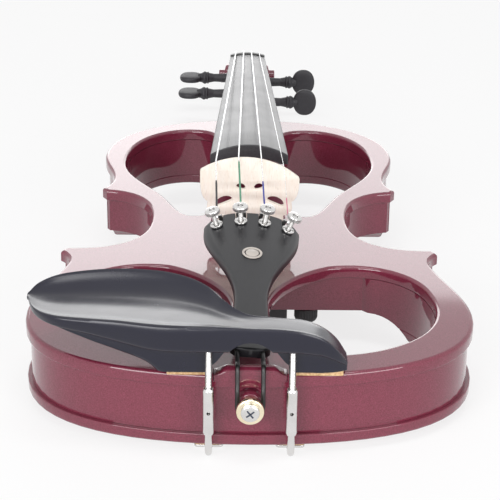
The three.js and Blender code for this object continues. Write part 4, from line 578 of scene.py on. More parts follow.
def grow(tree, values, material, points=((0, 0, 0),)):  # result of a tree as a plain mesh
    base = bpy.data.meshes.new(tree.name)
    base.from_pydata([tuple(point) for point in points], [(i, i + 1) for i in range(len(points) - 1)], [])
    host = asObject(base)
    change = host.modifiers.new("grow", "NODES")
    change.node_group = tree
    sockets = {item.name: item.identifier for item in tree.interface.items_tree
               if item.item_type == "SOCKET" and item.in_out == "INPUT"}
    for label, value in values.items():
        change[sockets[label]] = value
    change[sockets["Material"]] = material
    return shadeMesh(turnedOut(baked(host)), 50)


wireTree, ribTree, threadTree = makeWireTree(), makeRibTree(), makeThreadTree()
print("node trees built")


# Body: two plates and the rib frame
bodyValues = {
    "lower": 104.4, "lowerCorner": 95.7, "waist": 51.7, "upperCorner": 81.5, "upper": 84,
    "strip": 9.2, "spine": 8, "beam": 21.5, "block": 57, "blockStart": 123,
    "topThick": 6, "backThick": 5.5, "overhang": 2, "edgeRound": 1.7, "innerRound": 0.5,
    "hollowDepth": 10, "hollowStart": 105, "hollowEnd": 247, "hollowRamp": 15,
    "heelFootHalf": 10.5, "heelTopHalf": 16.05, "heelMortise": 8, "cutHalf": 130,
    "topSeats": {"saddle": (-16.1, 16.1, -20, 7.3), "pickup": (-23.1, 23.1, 158.8, 163.2)},
    "topSeatDepths": {"saddle": 3.1, "pickup": 2.3}, "cellSeat": (-43.3, -16.7, 126.7, 172.3, -20, 19.9),
    "jackSeats": {"x": (8, -9), "radius": (5.8, 3.7), "top": (21.6, 13.7), "sides": (32, 24)}, "jackY": 152,
    "buttonRadius": 3.7, "buttonDeep": 14.3, "buttonZ": 22.4,
}
body = SimpleNamespace(**bodyValues)
# Rows of [width, share of that half width, share of the body length]; three places make a curve
outlineShares = [
    [["lower", 0, 0]],
    [["lower", 0.6, 0], ["lower", 1, 0.055], ["lower", 1, 0.187]],
    [["lower", 1, 0.247], ["lower", 0.895, 0.3], ["lower", 0.867, 0.352]],
    [["lowerCorner", 0.941, 0.366], ["lowerCorner", 0.965, 0.382], ["lowerCorner", 1, 0.391]],
    [["lowerCorner", 0.978, 0.4045]],
    [["waist", 1.32, 0.402], ["waist", 1, 0.435], ["waist", 1, 0.5225]],
    [["waist", 1, 0.59], ["waist", 1.18, 0.632], ["upperCorner", 0.97, 0.638]],
    [["upperCorner", 1, 0.65]],
    [["upperCorner", 0.965, 0.662], ["upper", 0.911, 0.676], ["upper", 0.911, 0.694]],
    [["upper", 0.911, 0.736], ["upper", 1, 0.764], ["upper", 1, 0.812]],
    [["upper", 1, 0.927], ["upper", 0.595, 1], ["upper", 0, 1]],
]
lowerHoleSideShares = [
    [["lower", 0.594, 0.354], ["lower", 0.785, 0.3146], ["lower", 0.824, 0.2528]],
    [["lower", 0.881, 0.1854], ["lower", 0.805, 0.1236], ["lower", 0.632, 0.09]],
    [["lower", 0.536, 0.0702], ["lower", 0.421, 0.0604], ["lower", 0.287, 0.0604]],
]
lowerHoleShares = [
    [["strip", 1, 0.1]],
    [["strip", 1, 0.213]],
    [["strip", 1.25, 0.267], ["lower", 0.23, 0.3146], ["lower", 0.383, 0.337]],
    *lowerHoleSideShares,
    [["lower", 0.153, 0.0604], ["strip", 1, 0.073], ["strip", 1, 0.1]],
]
upperHoleShares = [
    [["beam", 1, 0.562]],
    [["beam", 0.955, 0.9045]],
    [["beam", 0.955, 0.93], ["upper", 0.32, 0.938], ["upper", 0.43, 0.938]],
    [["upper", 0.69, 0.935], ["upper", 0.85, 0.865], ["upper", 0.85, 0.781]],
    [["upper", 0.85, 0.708], ["upper", 0.643, 0.663], ["upper", 0.548, 0.6096]],
    [["upper", 0.488, 0.576], ["upper", 0.44, 0.535], ["upper", 0.357, 0.535]],
    [["upper", 0.298, 0.535], ["beam", 1, 0.542], ["beam", 1, 0.562]],
]


def bodyPlace(row):
    return Vector((bodyValues[row[0]] * row[1], bodyLength * row[2]))


def planPath(rows):
    return pathPoints(bodyPlace(rows[0][0]), [[bodyPlace(place) for place in row] for row in rows[1:]], 16)


def mirrored(points):
    return [Vector((-point.x, point.y)) for point in reversed(points)]


def blockHole(v):  # the block's tail face is straight below the plate
    side = planPath([lowerHoleShares[2][-1:]] + lowerHoleSideShares)
    corner = planPath([lowerHoleSideShares[-1][-1:], lowerHoleShares[-1]])[1:-1]
    return [Vector((v.spine, bodyLength * lowerHoleShares[0][0][2])), Vector((v.spine, v.blockStart)),
            Vector((v.block, v.blockStart)),
            *[point for point in side if point.x > v.block],
            *[point for point in side if point.x <= v.block and point.y < v.blockStart / 2],
            *[Vector((max(point.x, v.spine), point.y)) for point in corner]]


def acrossX(profile, x0, x1):  # a section in (y, z) run along x
    return loftMesh("across", [[Vector((x, p[0], p[1])) for p in profile] for x in (x0, x1)])


def alongY(profile, y0, y1):  # a section in (x, z) run along y
    return loftMesh("along", [[Vector((p[0], y, p[1])) for p in profile] for y in (y0, y1)])


def hollowTool(v):
    a, b, ramp, depth = v.hollowStart, v.hollowEnd, v.hollowRamp, v.hollowDepth
    rise = [(ramp * (1.4 * t - 0.4 * t * t), depth * (2 * t - t * t)) for t in (i / 8 for i in range(9))]
    profile = [(a - 2 * ramp, -2 * depth), *[(a + y, z) for y, z in rise],
               *[(b - y, z) for y, z in reversed(rise)], (b + 2 * ramp, -2 * depth)]
    return acrossX(profile, -v.cutHalf, v.cutHalf)


def heelTool(v):
    low, high = v.heelFootHalf + slack, v.heelTopHalf + slack
    profile = [(-low, -past), (low, -past), (low, 0), (high, topZ), (high, topZ + past), (-high, topZ + past),
               (-high, topZ), (-low, 0)]
    return alongY(profile, bodyLength - v.heelMortise, bodyLength + past)


towardTail = spin(90, "X")  # turns z to run out of the tail end
towardTreble = spin(90, "Y")
rightOutline = planPath(outlineShares)
outline = rightOutline + mirrored(rightOutline[1:-1])
lowerHole, upperHole = planPath(lowerHoleShares)[:-1], planPath(upperHoleShares)[:-1]
block = blockHole(body)
plateHoles = [lowerHole, mirrored(lowerHole), upperHole, mirrored(upperHole)]
blockHoles = [block, mirrored(block), upperHole, mirrored(upperHole)]


def makeTopPlate(v):
    plate = slabMesh("topPlate", outline, plateHoles,
                     easedLevels(topZ - v.topThick, topZ, v.innerRound, v.edgeRound))
    seats = [boxMesh(*v.topSeats[key], topZ - v.topSeatDepths[key], topZ + past) for key in v.topSeats]
    return carve(plate, [heelTool(v), *seats], level=True)


def makeRibs(v):
    edge = insetLoop(wound(outline), v.overhang)
    ribs = slabMesh("ribs", edge, blockHoles, [(v.backThick + joint, 0), (topZ - v.topThick - joint, 0)])
    jackSeats = [rodMesh(radius, -past, top, sides, shift(x, v.jackY))
                 for x, radius, top, sides in zip(*v.jackSeats.values())]
    buttonHole = rodMesh(v.buttonRadius, -v.buttonDeep, past, 24, shift(z=v.buttonZ) @ towardTail)
    return carve(ribs, [hollowTool(v), heelTool(v), boxMesh(*v.cellSeat), *jackSeats, buttonHole], level=True)


def makeBackPlate(v, lower):
    plate = slabMesh("back", outline, blockHoles, easedLevels(0, v.backThick, v.edgeRound, v.innerRound))
    middle, end = (v.hollowStart + v.hollowEnd) / 2, bodyLength + 2 * past
    away = boxMesh(-v.cutHalf, v.cutHalf, *((middle, end) if lower else (-past, middle)), -past, past)
    return carve(plate, [hollowTool(v), heelTool(v), away], level=True)


addPiece("topPlate", makeTopPlate(body), lacquer, nodes=["top_plate"])
addPiece("ribFrame", makeRibs(body), lacquer, nodes=["rib_frame"])
addPiece("backPlateLower", makeBackPlate(body, True), lacquer, nodes=["back_plate_lower"])
addPiece("backPlateUpper", makeBackPlate(body, False), lacquer, nodes=["back_plate_upper"])
print("body made")

# Fingerboard and nut
boardValues = {
    "start": 219, "wideHalf": 21.4, "nutHalf": 12, "radius": 42, "endTop": 64.9, "nutTop": 39.2, "side": 5.4,
    "edgeRound": 0.8, "endRound": 0.7, "hollowTo": 344, "hollowWall": 5, "hollowRise": 3.6,
    "nutThick": 4.5, "nutRise": 0.8,
}
board = SimpleNamespace(**boardValues)


def boardShare(y):
    return (y - board.start) / (nutY - board.start)


def boardHalf(y):
    return mix(board.wideHalf, board.nutHalf, boardShare(y))


def boardTop(y):
    return mix(board.endTop, board.nutTop, boardShare(y))


def boardDrop(x):
    return board.radius - sqrt(board.radius ** 2 - x * x)


def boardBottom(y):
    wide = board.endTop - boardDrop(board.wideHalf) - board.side
    narrow = board.nutTop - boardDrop(board.nutHalf) - board.side
    return mix(wide, narrow, boardShare(y))


def boardSection(y, lift=0.0, shrink=0.0, at=None):  # section of the board at y, placed at another y if given
    half, bottom, top = boardHalf(y), boardBottom(y), boardTop(y) + lift
    arch = [Vector((x, top - boardDrop(x))) for x in (half * (1 - 2 * i / 24) for i in range(25))]
    loop = softLoop([Vector((-half, bottom)), Vector((half, bottom)), *arch],
                    {0: 0.5, 1: 0.5, 2: board.edgeRound, 26: board.edgeRound})
    middleZ, halfZ = (top + bottom) / 2, (top - bottom) / 2
    scaleX, scaleZ = 1 - shrink / half, 1 - shrink / halfZ
    return [Vector((p.x * scaleX, y if at is None else at, middleZ + (p.y - middleZ) * scaleZ)) for p in loop]


def roundedEnds(y0, y1, bend, section, between=2):  # sections with both ends eased
    bends = [(sin(a), cos(a)) for a in (pi / 2 * i / 4 for i in range(5))]
    middles = [mix(y0 + bend, y1 - bend, i / between) for i in range(1, between)]
    return ([section(y0, bend * (1 - s), y0 + bend * (1 - c)) for s, c in bends]
            + [section(y, 0, y) for y in middles]
            + [section(y1, bend * (1 - c), y1 - bend * (1 - s)) for s, c in bends])


def makeBoard(v):
    rings = roundedEnds(v.start, nutY, v.endRound,
                        lambda y, shrink, at: boardSection(at, 0, shrink), 8)
    board = loftMesh("board", rings, 40)
    tool = []
    for y in (v.start - 1, v.hollowTo):
        half = boardHalf(y) - v.hollowWall
        bottom = boardBottom(y)
        tool.append([Vector((-half, y, bottom - 3)), Vector((half, y, bottom - 3))]
                    + [Vector((half * cos(a), y, bottom + v.hollowRise * sin(a)))
                       for a in (pi * i / 16 for i in range(17))])
    return carve(board, [loftMesh("hollow", tool)], angle=40)


def makeNut(v):
    y0 = nutY + joint
    rings = roundedEnds(y0, y0 + v.nutThick, 1.1,
                        lambda y, shrink, at: boardSection(nutY, v.nutRise, shrink * 0.6, at))
    return loftMesh("nut", rings, 50)


addPiece("fingerboard", makeBoard(board), boardWood, nodes=["fingerboard"])
addPiece("nut", makeNut(board), boneNut, nodes=["nut"])

# Neck with its pegbox and scroll
neckValues = {
    "thickNut": 12.4, "thickHeel": 14.2, "inset": 0.4, "heelLength": 24, "heelFoot": 1.2,
    "boxLength": 66, "boxNutHalf": 12.2, "boxThroatHalf": 9.6, "wall": 4.6, "floor": 7, "setBack": 5,
    "pegHole": 3.5, "chin": 28, "eyeY": 572, "eyeZ": -0.8, "radius": 21.6, "eyeRadius": 4.6, "turns": 2,
    "coil": 0.8, "steps": 44,
    "outerHalf": 6.2, "eyeHalf": 20, "bossHalf": 20.8, "flute": 0.9, "edge": 1.0,
}
neck = SimpleNamespace(**neckValues)
nutBack = nutY + joint + board.nutThick


def smoothStep(low, high, value):
    share = min(max((value - low) / (high - low), 0), 1)
    return share * share * (3 - 2 * share)


def neckRing(y, half, top, bottom):
    ring = []
    for i in range(33):
        a = pi * i / 32
        c, s = cos(a), sin(a)
        ring.append(Vector((half * copysign(abs(c) ** 0.8, c), y, top - (top - bottom) * s ** 0.8)))
    return ring


def makeShaft(v):
    heelEnd = bodyLength + v.heelLength
    stations = [(mix(bodyLength, heelEnd, i / 14), i / 14) for i in range(15)]
    stations += [(mix(heelEnd, nutY, i / 12), 1) for i in range(1, 13)]
    rings = []
    for y, share in stations:
        top = boardBottom(y) - joint
        thick = mix(v.thickHeel, v.thickNut, smoothStep(heelEnd, nutY, y))
        bottom = mix(v.heelFoot, top - thick, sqrt(smoothStep(0, 1, share)))
        rings.append(neckRing(y, boardHalf(y) - v.inset, top, bottom))
    top = boardBottom(nutY) - joint
    rings.append(neckRing(nutBack, v.boxNutHalf, top, top - v.thickNut))
    return loftMesh("shaft", rings, 40)


def makeHeel(v):
    top = boardBottom(bodyLength) - 0.4
    low, high = body.heelFootHalf, body.heelTopHalf
    foot = mix(low, high, v.heelFoot / topZ)
    profile = [(-foot, v.heelFoot), (foot, v.heelFoot), (high, topZ), (high, top), (-high, top),
               (-high, topZ)]
    return alongY(profile, bodyLength - body.heelMortise + slack, bodyLength + slack)


def boxHalfAt(y, v):
    start = nutBack - 2 * v.setBack
    return mix(v.boxNutHalf, v.boxThroatHalf, min(max((y - start) / (v.eyeY - start), 0), 1))


def makePegbox(v):
    start, end = nutBack, nutBack + v.boxLength
    front = boardBottom(nutY) - joint
    throat = v.eyeZ + v.radius * 0.66
    back = boardBottom(nutY) - v.thickNut
    scrollLow = v.eyeZ - v.radius
    reach, bulge = v.boxLength, back - v.chin
    bend = (start - v.setBack * 0.6, back - v.chin * 0.8)
    last = (start - v.setBack * 1.6, back + 0.3)
    lift = Vector((start + reach * 0.1, bulge))
    side = pathPoints((start - v.setBack, front), [
        [(start, front)],
        [(start + reach * 0.12, mix(front, throat, 0.75)), (start + reach * 0.4, throat + 2.7),
         (end, throat)],
        [(v.eyeY, throat - v.radius * 0.4)],
        [(v.eyeY, scrollLow + 0.3)],
        [(end, mix(scrollLow, back, 0.1)), (start + reach * 0.35, bulge), lift],
        [lift.lerp(Vector(bend), 2 / 3), Vector(last).lerp(Vector(bend), 2 / 3), last],
    ], 16)
    levels = []
    count = 18
    for i in range(count + 1):  # two channels run down the back, with a ridge between them
        h = -1 + 2 * i / count
        depth = v.flute * (1 - cos(2 * pi * abs(h))) / 2 if abs(h) < 0.98 else 0
        levels.append((h, depth))
    levels = [(-1, v.edge), (-0.965, 0.3)] + [(h * 0.93, d) for h, d in levels] + [(0.965, 0.3), (1, v.edge)]
    box = slabMesh("pegbox", side, [], levels)
    stoodUp(box, lambda p: Vector((p.z * boxHalfAt(p.x, v), p.x, p.y)))
    wallHalf = v.boxNutHalf - v.wall, v.boxThroatHalf - v.wall
    plan = [Vector((-wallHalf[0], start + 0.3)), Vector((wallHalf[0], start + 0.3)),
            Vector((wallHalf[1], end - v.wall)), Vector((-wallHalf[1], end - v.wall))]
    plan = softLoop(plan, {0: 2, 1: 2, 2: 3, 3: 3}, 6)
    hollow = slabMesh("hollow", plan, [], [(scrollLow + v.floor + v.wall, 0), (90, 0)])
    holes = [rodMesh(v.pegHole, -30, 30, 28, shift(0, nutY + place["along"], place["up"]) @ towardTreble)
             for place in pegPlaces.values()]
    return carve(turnedOut(box, False), [hollow, *holes], angle=30)


def makeVolute(v):
    rings = []
    total = v.turns * v.steps
    for step in range(total + 1):
        share = step / total
        a = -pi / 2 + share * v.turns * 2 * pi
        outer = mix(v.radius, v.eyeRadius + 0.3, share ** v.coil)
        inner = mix(v.radius, v.eyeRadius + 0.3, min(share + 1 / v.turns, 1) ** v.coil) * 0.72
        half = mix(v.outerHalf, v.eyeHalf, share ** 1.3)
        lip = (outer - inner) * 0.22
        flute = v.flute * (1 - share) ** 0.5
        section = [(inner, -half + lip), (mix(inner, outer, 0.4), -half + lip * 1.1),
                   (outer - lip * 1.3, -half + lip * 0.3), (outer - lip * 0.9, -half),
                   (outer - lip * 0.35, -half + lip * 0.1), (outer, -half + lip * 0.6)]
        wide = half - lip * 0.6
        for k in range(1, 12):
            x = -wide + 2 * wide * k / 12
            section.append((outer - flute * (1 - cos(2 * pi * abs(x) / wide)) / 2, x))
        section += [(r, -x) for r, x in reversed(section[:6])]
        rings.append([Vector((x, v.eyeY + r * cos(a), v.eyeZ + r * sin(a))) for r, x in section])
    return loftMesh("volute", rings, 40)


pegPlaces = {
    "g": {"side": -1, "along": 26, "up": 2.6}, "d": {"side": -1, "along": 60, "up": 4.2},
    "a": {"side": 1, "along": 46, "up": 5.5}, "e": {"side": 1, "along": 12, "up": 0.9},
}


def makeNeck(v):
    eyePlace = shift(0, v.eyeY, v.eyeZ) @ towardTreble
    eyeProfile = rounded([(0, -v.bossHalf), (v.eyeRadius, -v.bossHalf),
                          (v.eyeRadius, v.bossHalf), (0, v.bossHalf)], 0.8)
    eye = latheMesh("eye", eyeProfile, 40, eyePlace, 50)
    core = rodMesh(v.radius * 0.62, -v.outerHalf, v.outerHalf, 48, eyePlace)
    return merged("neck", [makeShaft(v), makeHeel(v), makePegbox(v), makeVolute(v), core, eye])


addPiece("neckAndScroll", makeNeck(neck), lacquer, nodes=["neck"])
print("neck made")

# Pegs
pegValues = {
    "radius": 3.4, "tipRadius": 2.9, "boxHalf": 12.2, "tipOut": 1, "collarRadius": 4.6, "collarReach": 31.5,
    "headReach": 49.5, "headHalf": 9.4, "headThick": 5.4,
}
peg = SimpleNamespace(**pegValues)


def makePeg(v, place):
    collar, reach = v.collarRadius, v.collarReach
    profile = rounded([
        (0, -v.boxHalf - v.tipOut), (v.tipRadius, -v.boxHalf - v.tipOut),
        (v.radius, v.boxHalf), (v.radius * 0.86, reach - collar * 1.6),
        (collar * 0.8, reach - collar * 0.75), (collar, reach - collar * 0.62),
        (collar * 0.86, reach - collar * 0.42),
        (collar, reach - collar * 0.2), (collar, reach), (v.radius, reach + collar * 0.4),
        (v.radius * 0.9, reach + collar), (0, reach + collar)], 0.3)
    shaft = latheMesh("shaft", profile, 32, towardTreble, 40)
    start, end = reach + 1.5, v.headReach
    middle, half = (start + end) / 2, (end - start) / 2
    rings = []
    for i in range(25):
        s = -cos(pi * (0.03 + 0.94 * i / 24))
        tall = v.headHalf * (1 - abs(s) ** 2.3) ** 0.5
        tall = max(tall, v.radius * 0.85 * min(max(-s, 0), 1))
        thick = v.headThick / 2 * (1 - abs(s) ** 5) ** 0.5
        ring = []
        for k in range(32):
            a = 2 * pi * k / 32
            up = tall * copysign(abs(sin(a)) ** 0.9, sin(a))
            out = thick * copysign(abs(cos(a)) ** 0.5, cos(a)) * (0.86 + 0.14 * (up / tall) ** 2)
            ring.append(Vector((middle + half * s, up, out)))
        rings.append(ring)
    head = loftMesh("head", rings, 60)
    if place["side"] > 0:
        head.transform(towardTail)
    peg = merged("peg", [shaft, head])
    flip = Matrix.Rotation(pi if place["side"] < 0 else 0, 4, "Z")
    peg.transform(shift(0, nutY + place["along"], place["up"]) @ flip)
    return peg


for key, place in pegPlaces.items():
    addPiece("peg_" + key, makePeg(peg, place), pegWood, key + "_peg", ["peg_" + key])
print("pegs made")

# Bridge and pickup
bridgeValues = {
    "arcRadius": 42, "arcShift": -2.7, "height": 43.3, "topHalf": 25.5, "waistHalf": 21.5, "footHalf": 21.5,
    "footLength": 12.5, "footHeight": 4, "baseThick": 4.6, "topThick": 1.8, "archHeight": 11, "bevel": 0.35,
    "kidneyX": 13.3, "kidneyZ": 19.6, "kidneyLong": 4.7, "kidneyTall": 2.4, "kidneyTilt": 24,
    "heartX": 4.6, "heartZ": 27.6, "heartLong": 2.1, "heartTall": 1.8, "heartTilt": 30, "bend": 0.55,
    "pickupLong": 46, "pickupWide": 4.2, "pickupThick": 2.2,
}
bridge = SimpleNamespace(**bridgeValues)


def bridgeArcZ(x):
    radius = bridge.arcRadius
    return topZ + bridge.height - radius + sqrt(radius ** 2 - (x - bridge.arcShift) ** 2)


def beanHole(x, z, long, tall, tilt, bend):  # a lens whose lower side is bent up
    out = []
    for i in range(28):
        a = 2 * pi * i / 28
        u, v = long * cos(a), tall * sin(a)
        v += bend * tall * (1 - (u / long) ** 2) * (1 if v < 0 else 0.35)
        t = radians(tilt)
        out.append(Vector((x + u * cos(t) - v * sin(t), z + u * sin(t) + v * cos(t))))
    return out


def makeBridge(v):
    base = topZ + joint
    foot, waist, tall = v.footHalf, v.waistHalf, v.footHeight
    waistZ = base + v.kidneyZ * 0.62
    inner = foot - v.footLength
    half = [(foot, base), (foot, base + tall * 0.6)]
    half += [tuple(p) for p in pathPoints((foot, base + tall * 0.6), [
        [(foot - tall * 0.5, base + tall * 1.2), (foot - tall * 1.1, base + tall * 1.4),
         (waist - tall, waistZ)],
        [(waist - tall * 0.2, waistZ + 0.6), (waist + tall * 0.35, waistZ + 1.6), (waist, base + v.kidneyZ)],
        [(v.topHalf - 0.6, base + v.kidneyZ + 1.6), (v.topHalf - 0.1, bridgeArcZ(v.topHalf) - 6),
         (v.topHalf, bridgeArcZ(v.topHalf) - 0.6)],
    ], 8)[1:]]
    other = [(-x, z) for x, z in reversed(half)]
    other[0] = (-v.topHalf, bridgeArcZ(-v.topHalf) - 0.6)
    crown = [(v.topHalf * (1 - 2 * i / 40) * 0.985, bridgeArcZ(v.topHalf * (1 - 2 * i / 40) * 0.985))
             for i in range(41)]
    arch = [tuple(p) for p in pathPoints((-inner, base + tall * 0.6), [
        [(-inner, base + v.archHeight * 1.2), (inner, base + v.archHeight * 1.2),
         (inner, base + tall * 0.6)]], 20)]
    loop = [Vector(p) for p in half + crown + other + [(-inner, base)] + arch + [(inner, base)]]
    holes = []
    for side in (-1, 1):
        holes.append(beanHole(side * v.kidneyX, topZ + v.kidneyZ, v.kidneyLong,
                              v.kidneyTall, -side * v.kidneyTilt, v.bend))
        holes.append(beanHole(side * v.heartX, topZ + v.heartZ, v.heartLong * 1.15,
                              v.heartTall, side * v.heartTilt * 0.5, v.bend * 0.6))
    bevel = v.bevel
    levels = [(-1, bevel), (-0.93, bevel * 0.3), (-0.84, 0), (0.84, 0), (0.93, bevel * 0.3), (1, bevel)]
    mesh = slabMesh("bridge", loop, holes, levels)

    def place(p):
        share = min(max((p.y - topZ - tall) / (v.height - tall), 0), 1)
        thick = mix(v.baseThick, v.topThick, share)
        return Vector((p.x, bridgeY + p.z * thick / 2, p.y))
    stoodUp(mesh, place)
    return shadeMesh(turnedOut(mesh, False), 30)


def padPlan(x0, x1, y0, y1, bend):  # a rectangle with rounded corners
    corners = [Vector((x0, y0)), Vector((x1, y0)), Vector((x1, y1)), Vector((x0, y1))]
    return softLoop(corners, {k: bend for k in range(4)})


def padMesh(name, sides, bend, levels):
    return slabMesh(name, padPlan(*sides, bend), [], easedLevels(*levels))


def makePickup(v):
    long, wide = v.pickupLong / 2, v.pickupWide / 2
    return padMesh("pickup", (-long, long, bridgeY - wide, bridgeY + wide), 0.6,
                   (topZ - v.pickupThick, topZ, 0.2, 0.2, 3))


addPiece("bridge", makeBridge(bridge), maple, nodes=["bridge"])
addPiece("pickup", makePickup(bridge), dullNickel, nodes=["pickup"])
print("bridge made")

# Tailpiece, drawn in its own frame: y from its tail end, z above its crown
tailValues = {
    "y": 8, "z": 43.6, "rise": 19.9, "length": 114.6, "roll": 4, "wideHalf": 23.4, "waistHalf": 7.6,
    "tailHalf": 9, "tunerHole": 2.8, "gutHole": 1.3, "earThick": 1.5, "arc": 52, "thick": 5, "inlayY": 77,
    "ring": 4.8, "ringHole": 3.7, "dot": 3.1, "inlayThick": 0.5,
    "spread": 34.4, "tunerY": 105, "setBack": 1, "edgeRound": 1.3, "underRound": 0.8, "endRound": 1.2,
    "gutHalf": 5.6, "gutDeep": 9.3, "earStart": 3.9, "earRadius": 1.8, "earTop": -2.5, "earLow": -7.2,
}
tail = SimpleNamespace(**tailValues)
pitchTurn = Matrix.Rotation(asin(tail.rise / tail.length), 4, "X")
tailFrame = (shift(0, tail.y, tail.z)
             @ spin(tail.roll, "Y") @ pitchTurn)
stringNames = ["g", "d", "a", "e"]


def tunerPlace(i):
    x = tail.spread * (i / 3 - 0.5)
    y = tail.tunerY - tail.setBack * (2 * x / tail.spread) ** 2
    lean = Matrix.Rotation(asin(x / tail.arc), 4, "Y")
    return tailFrame @ shift(0, y, -tail.arc) @ lean @ shift(0, 0, tail.arc)


def tailPlan(v):  # half width along the tailpiece
    wide, waist, tail, length = v.wideHalf, v.waistHalf, v.tailHalf, v.length
    rows = pathPoints((0, 0), [
        [(tail * 0.66, 0), (tail, length * 0.013), (tail, length * 0.04)],
        [(tail, length * 0.2), (waist, length * 0.25), (waist, length * 0.36)],
        [(waist, length * 0.58), (wide, length * 0.75), (wide, length * 0.93)],
        [(wide, length * 0.98), (wide * 0.55, length), (0, length)]], 20)
    out = []
    for point in rows:
        if not out or point.y > out[-1].y + 1e-4:
            out.append(point)
    out[0].x = 1.2
    out[-1].x = 1.2
    return out


def arcAt(radius, x):
    return sqrt(radius ** 2 - x * x) - tail.arc


def makeTailpiece(v):
    rings = []
    plan = tailPlan(v)
    fine = []
    for a, b in zip(plan, plan[1:]):
        fine.append(a)
        if abs(b.x - a.x) > 1.5:
            fine += [a.lerp(b, k / 4) for k in (1, 2, 3)]
    fine.append(plan[-1])
    for i, point in enumerate(fine):
        half = point.x
        edge = min(v.edgeRound, half * 0.3)
        end = min(point.y, v.length - point.y)
        lower = 1.4 * max(0, 1 - end / v.endRound) ** 2
        top = [(half * (1 - 2 * k / 28), 0) for k in range(29)]
        ring = []
        for x, _ in top:
            near = half - abs(x)
            fall = edge - sqrt(max(edge ** 2 - max(edge - near, 0) ** 2, 0))
            ring.append(Vector((x, point.y, arcAt(v.arc, x) - fall - lower * 0.6)))
        for k in range(17):
            x = -half + 2 * half * k / 16
            near = half - abs(x)
            fall = v.underRound - sqrt(max(v.underRound ** 2 - max(v.underRound - near, 0) ** 2, 0))
            fall = fall if half > 2 else 0
            ring.append(Vector((x, point.y, arcAt(v.arc - v.thick, x) + fall + lower * 0.4)))
        rings.append(ring)
    board = loftMesh("tailpiece", rings, 45)
    tools, ears = [], []
    for i in range(4):
        place = tailFrame.inverted() @ tunerPlace(i)
        tools.append(rodMesh(v.tunerHole, -past, past, 28, place))
        slot = boxMesh(-v.tunerHole, v.tunerHole, 3.7, 12, -past, past)
        slot.transform(place)
        tools.append(slot)
        for side in (-1, 1):
            near = v.tunerHole if side > 0 else -v.tunerHole - v.earThick
            y0, bend = v.earStart, v.earRadius
            outline = [(y0, v.earTop), (y0, v.earLow)]
            outline += [(y0 + bend - bend * cos(a), v.earLow - bend * sin(a))
                        for a in (pi * k / 12 for k in range(1, 12))]
            outline += [(y0 + 2 * bend, v.earLow), (y0 + 2 * bend, v.earTop)]
            ear = acrossX(outline, near, near + v.earThick)
            ear.transform(place)
            ears.append(ear)
    for side in (-1, 1):
        tools.append(rodMesh(v.gutHole, -v.gutDeep, past, 20,
                             shift(side * v.gutHalf, 0, -v.thick / 2) @ towardTail))
    return merged("tailpiece", [carve(board, tools, angle=40), *ears])


def makeInlay(v, ring):
    low, high = joint, v.inlayThick + joint
    if ring:
        profile = rounded([(v.ringHole, low), (v.ring, low), (v.ring, high),
                           (v.ringHole, high), (v.ringHole, low)], 0.15)
    else:
        profile = [(0, low), (v.dot, low), (v.dot, high - 0.12), (v.dot * 0.94, high), (0, high)]
    return latheMesh("inlay", profile, 48, shift(y=v.inlayY))


addPiece("tailpiece", makeTailpiece(tail), blackWood, nodes=["tailpiece"], matrix=tailFrame)
addPiece("inlayRing", makeInlay(tail, True), pearl, nodes=["tailpiece_inlay_ring"], matrix=tailFrame)
addPiece("inlayDot", makeInlay(tail, False), pearl, nodes=["tailpiece_inlay_dot"], matrix=tailFrame)
print("tailpiece made")

# Fine tuners
tunerValues = {
    "collar": 3.1, "collarThick": 1.3, "collarSeat": 4, "collarBore": 1.6, "keyHole": 0.55, "shank": 1.25,
    "shankTop": 9.4, "thread": 0.18, "pitch": 0.5, "knob": 3.8, "knobThick": 2.3, "knobBore": 1.4,
    "knurls": 40, "leverDrop": 8.2, "leverThick": 2,
    "leverWidth": 5, "leverArm": 7.2, "leverTail": 4.5, "pinY": 5.7, "pinRadius": 0.9, "pinOut": 1.5,
    "slot": 1.3, "hookRise": 1.2, "hookLip": 0.7, "ball": 0.88, "ballGap": 0.06, "ballRise": 1.1,
}
tuner = SimpleNamespace(**tunerValues)


def makeCollar(v):
    bore, wide, seat, thick = v.collarBore, v.collar, v.collarSeat, v.collarThick
    profile = rounded([(bore, -seat), (wide * 0.8, -seat), (wide * 0.8, 0.3), (wide, 0.3), (wide, thick),
                       (bore, thick), (bore, -seat)], 0.22)
    collar = latheMesh("collar", profile, 40, angle=45)
    holes = [rodMesh(v.keyHole, thick - 0.7, 5, 14, shift(side * (bore + wide) / 2, 0, 0))
             for side in (-1, 1)]
    return carve(collar, holes, angle=45)


def makeScrew(v):
    low = -v.leverDrop + v.leverThick + slack
    profile = [(0, low), (v.shank * 0.7, low), (v.shank * 0.86, low + 0.9),
               (v.shank * 0.86, v.shankTop - 0.15), (v.shank * 0.7, v.shankTop),
               (0, v.shankTop)]
    core = latheMesh("core", profile, 24, angle=45)
    count = int((v.shankTop - 0.4 - (low + 1.1)) / v.pitch)
    thread = grow(threadTree, {"Count": count, "Pitch": v.pitch, "Radius": v.shank - 0.19,
                               "Depth": v.thread}, dullNickel)
    thread.transform(shift(0, 0, low + 1.1))
    return merged("screw", [core, thread])


def makeTunerKnob(v):
    top, wide, thick = v.shankTop, v.knob, v.knobThick
    profile = rounded([
        (v.knobBore, top - thick), (wide * 0.5, top - thick), (wide * 0.93, top - thick * 0.75),
        (wide * 0.955, top - thick * 0.2), (wide * 0.9, top + 0.2), (wide * 0.5, top + 0.3),
        (v.knobBore, top + 0.28), (v.knobBore, top - thick)], 0.25)
    knob = latheMesh("knob", profile, 56, angle=45)
    ribs = grow(ribTree, {"Count": v.knurls, "Radius": wide * 0.94, "Rib Radius": wide * 0.055,
                          "Height": thick * 0.62}, nickel)
    ribs.transform(shift(0, 0, top - thick * 0.47))
    return merged("knob", [knob, ribs])


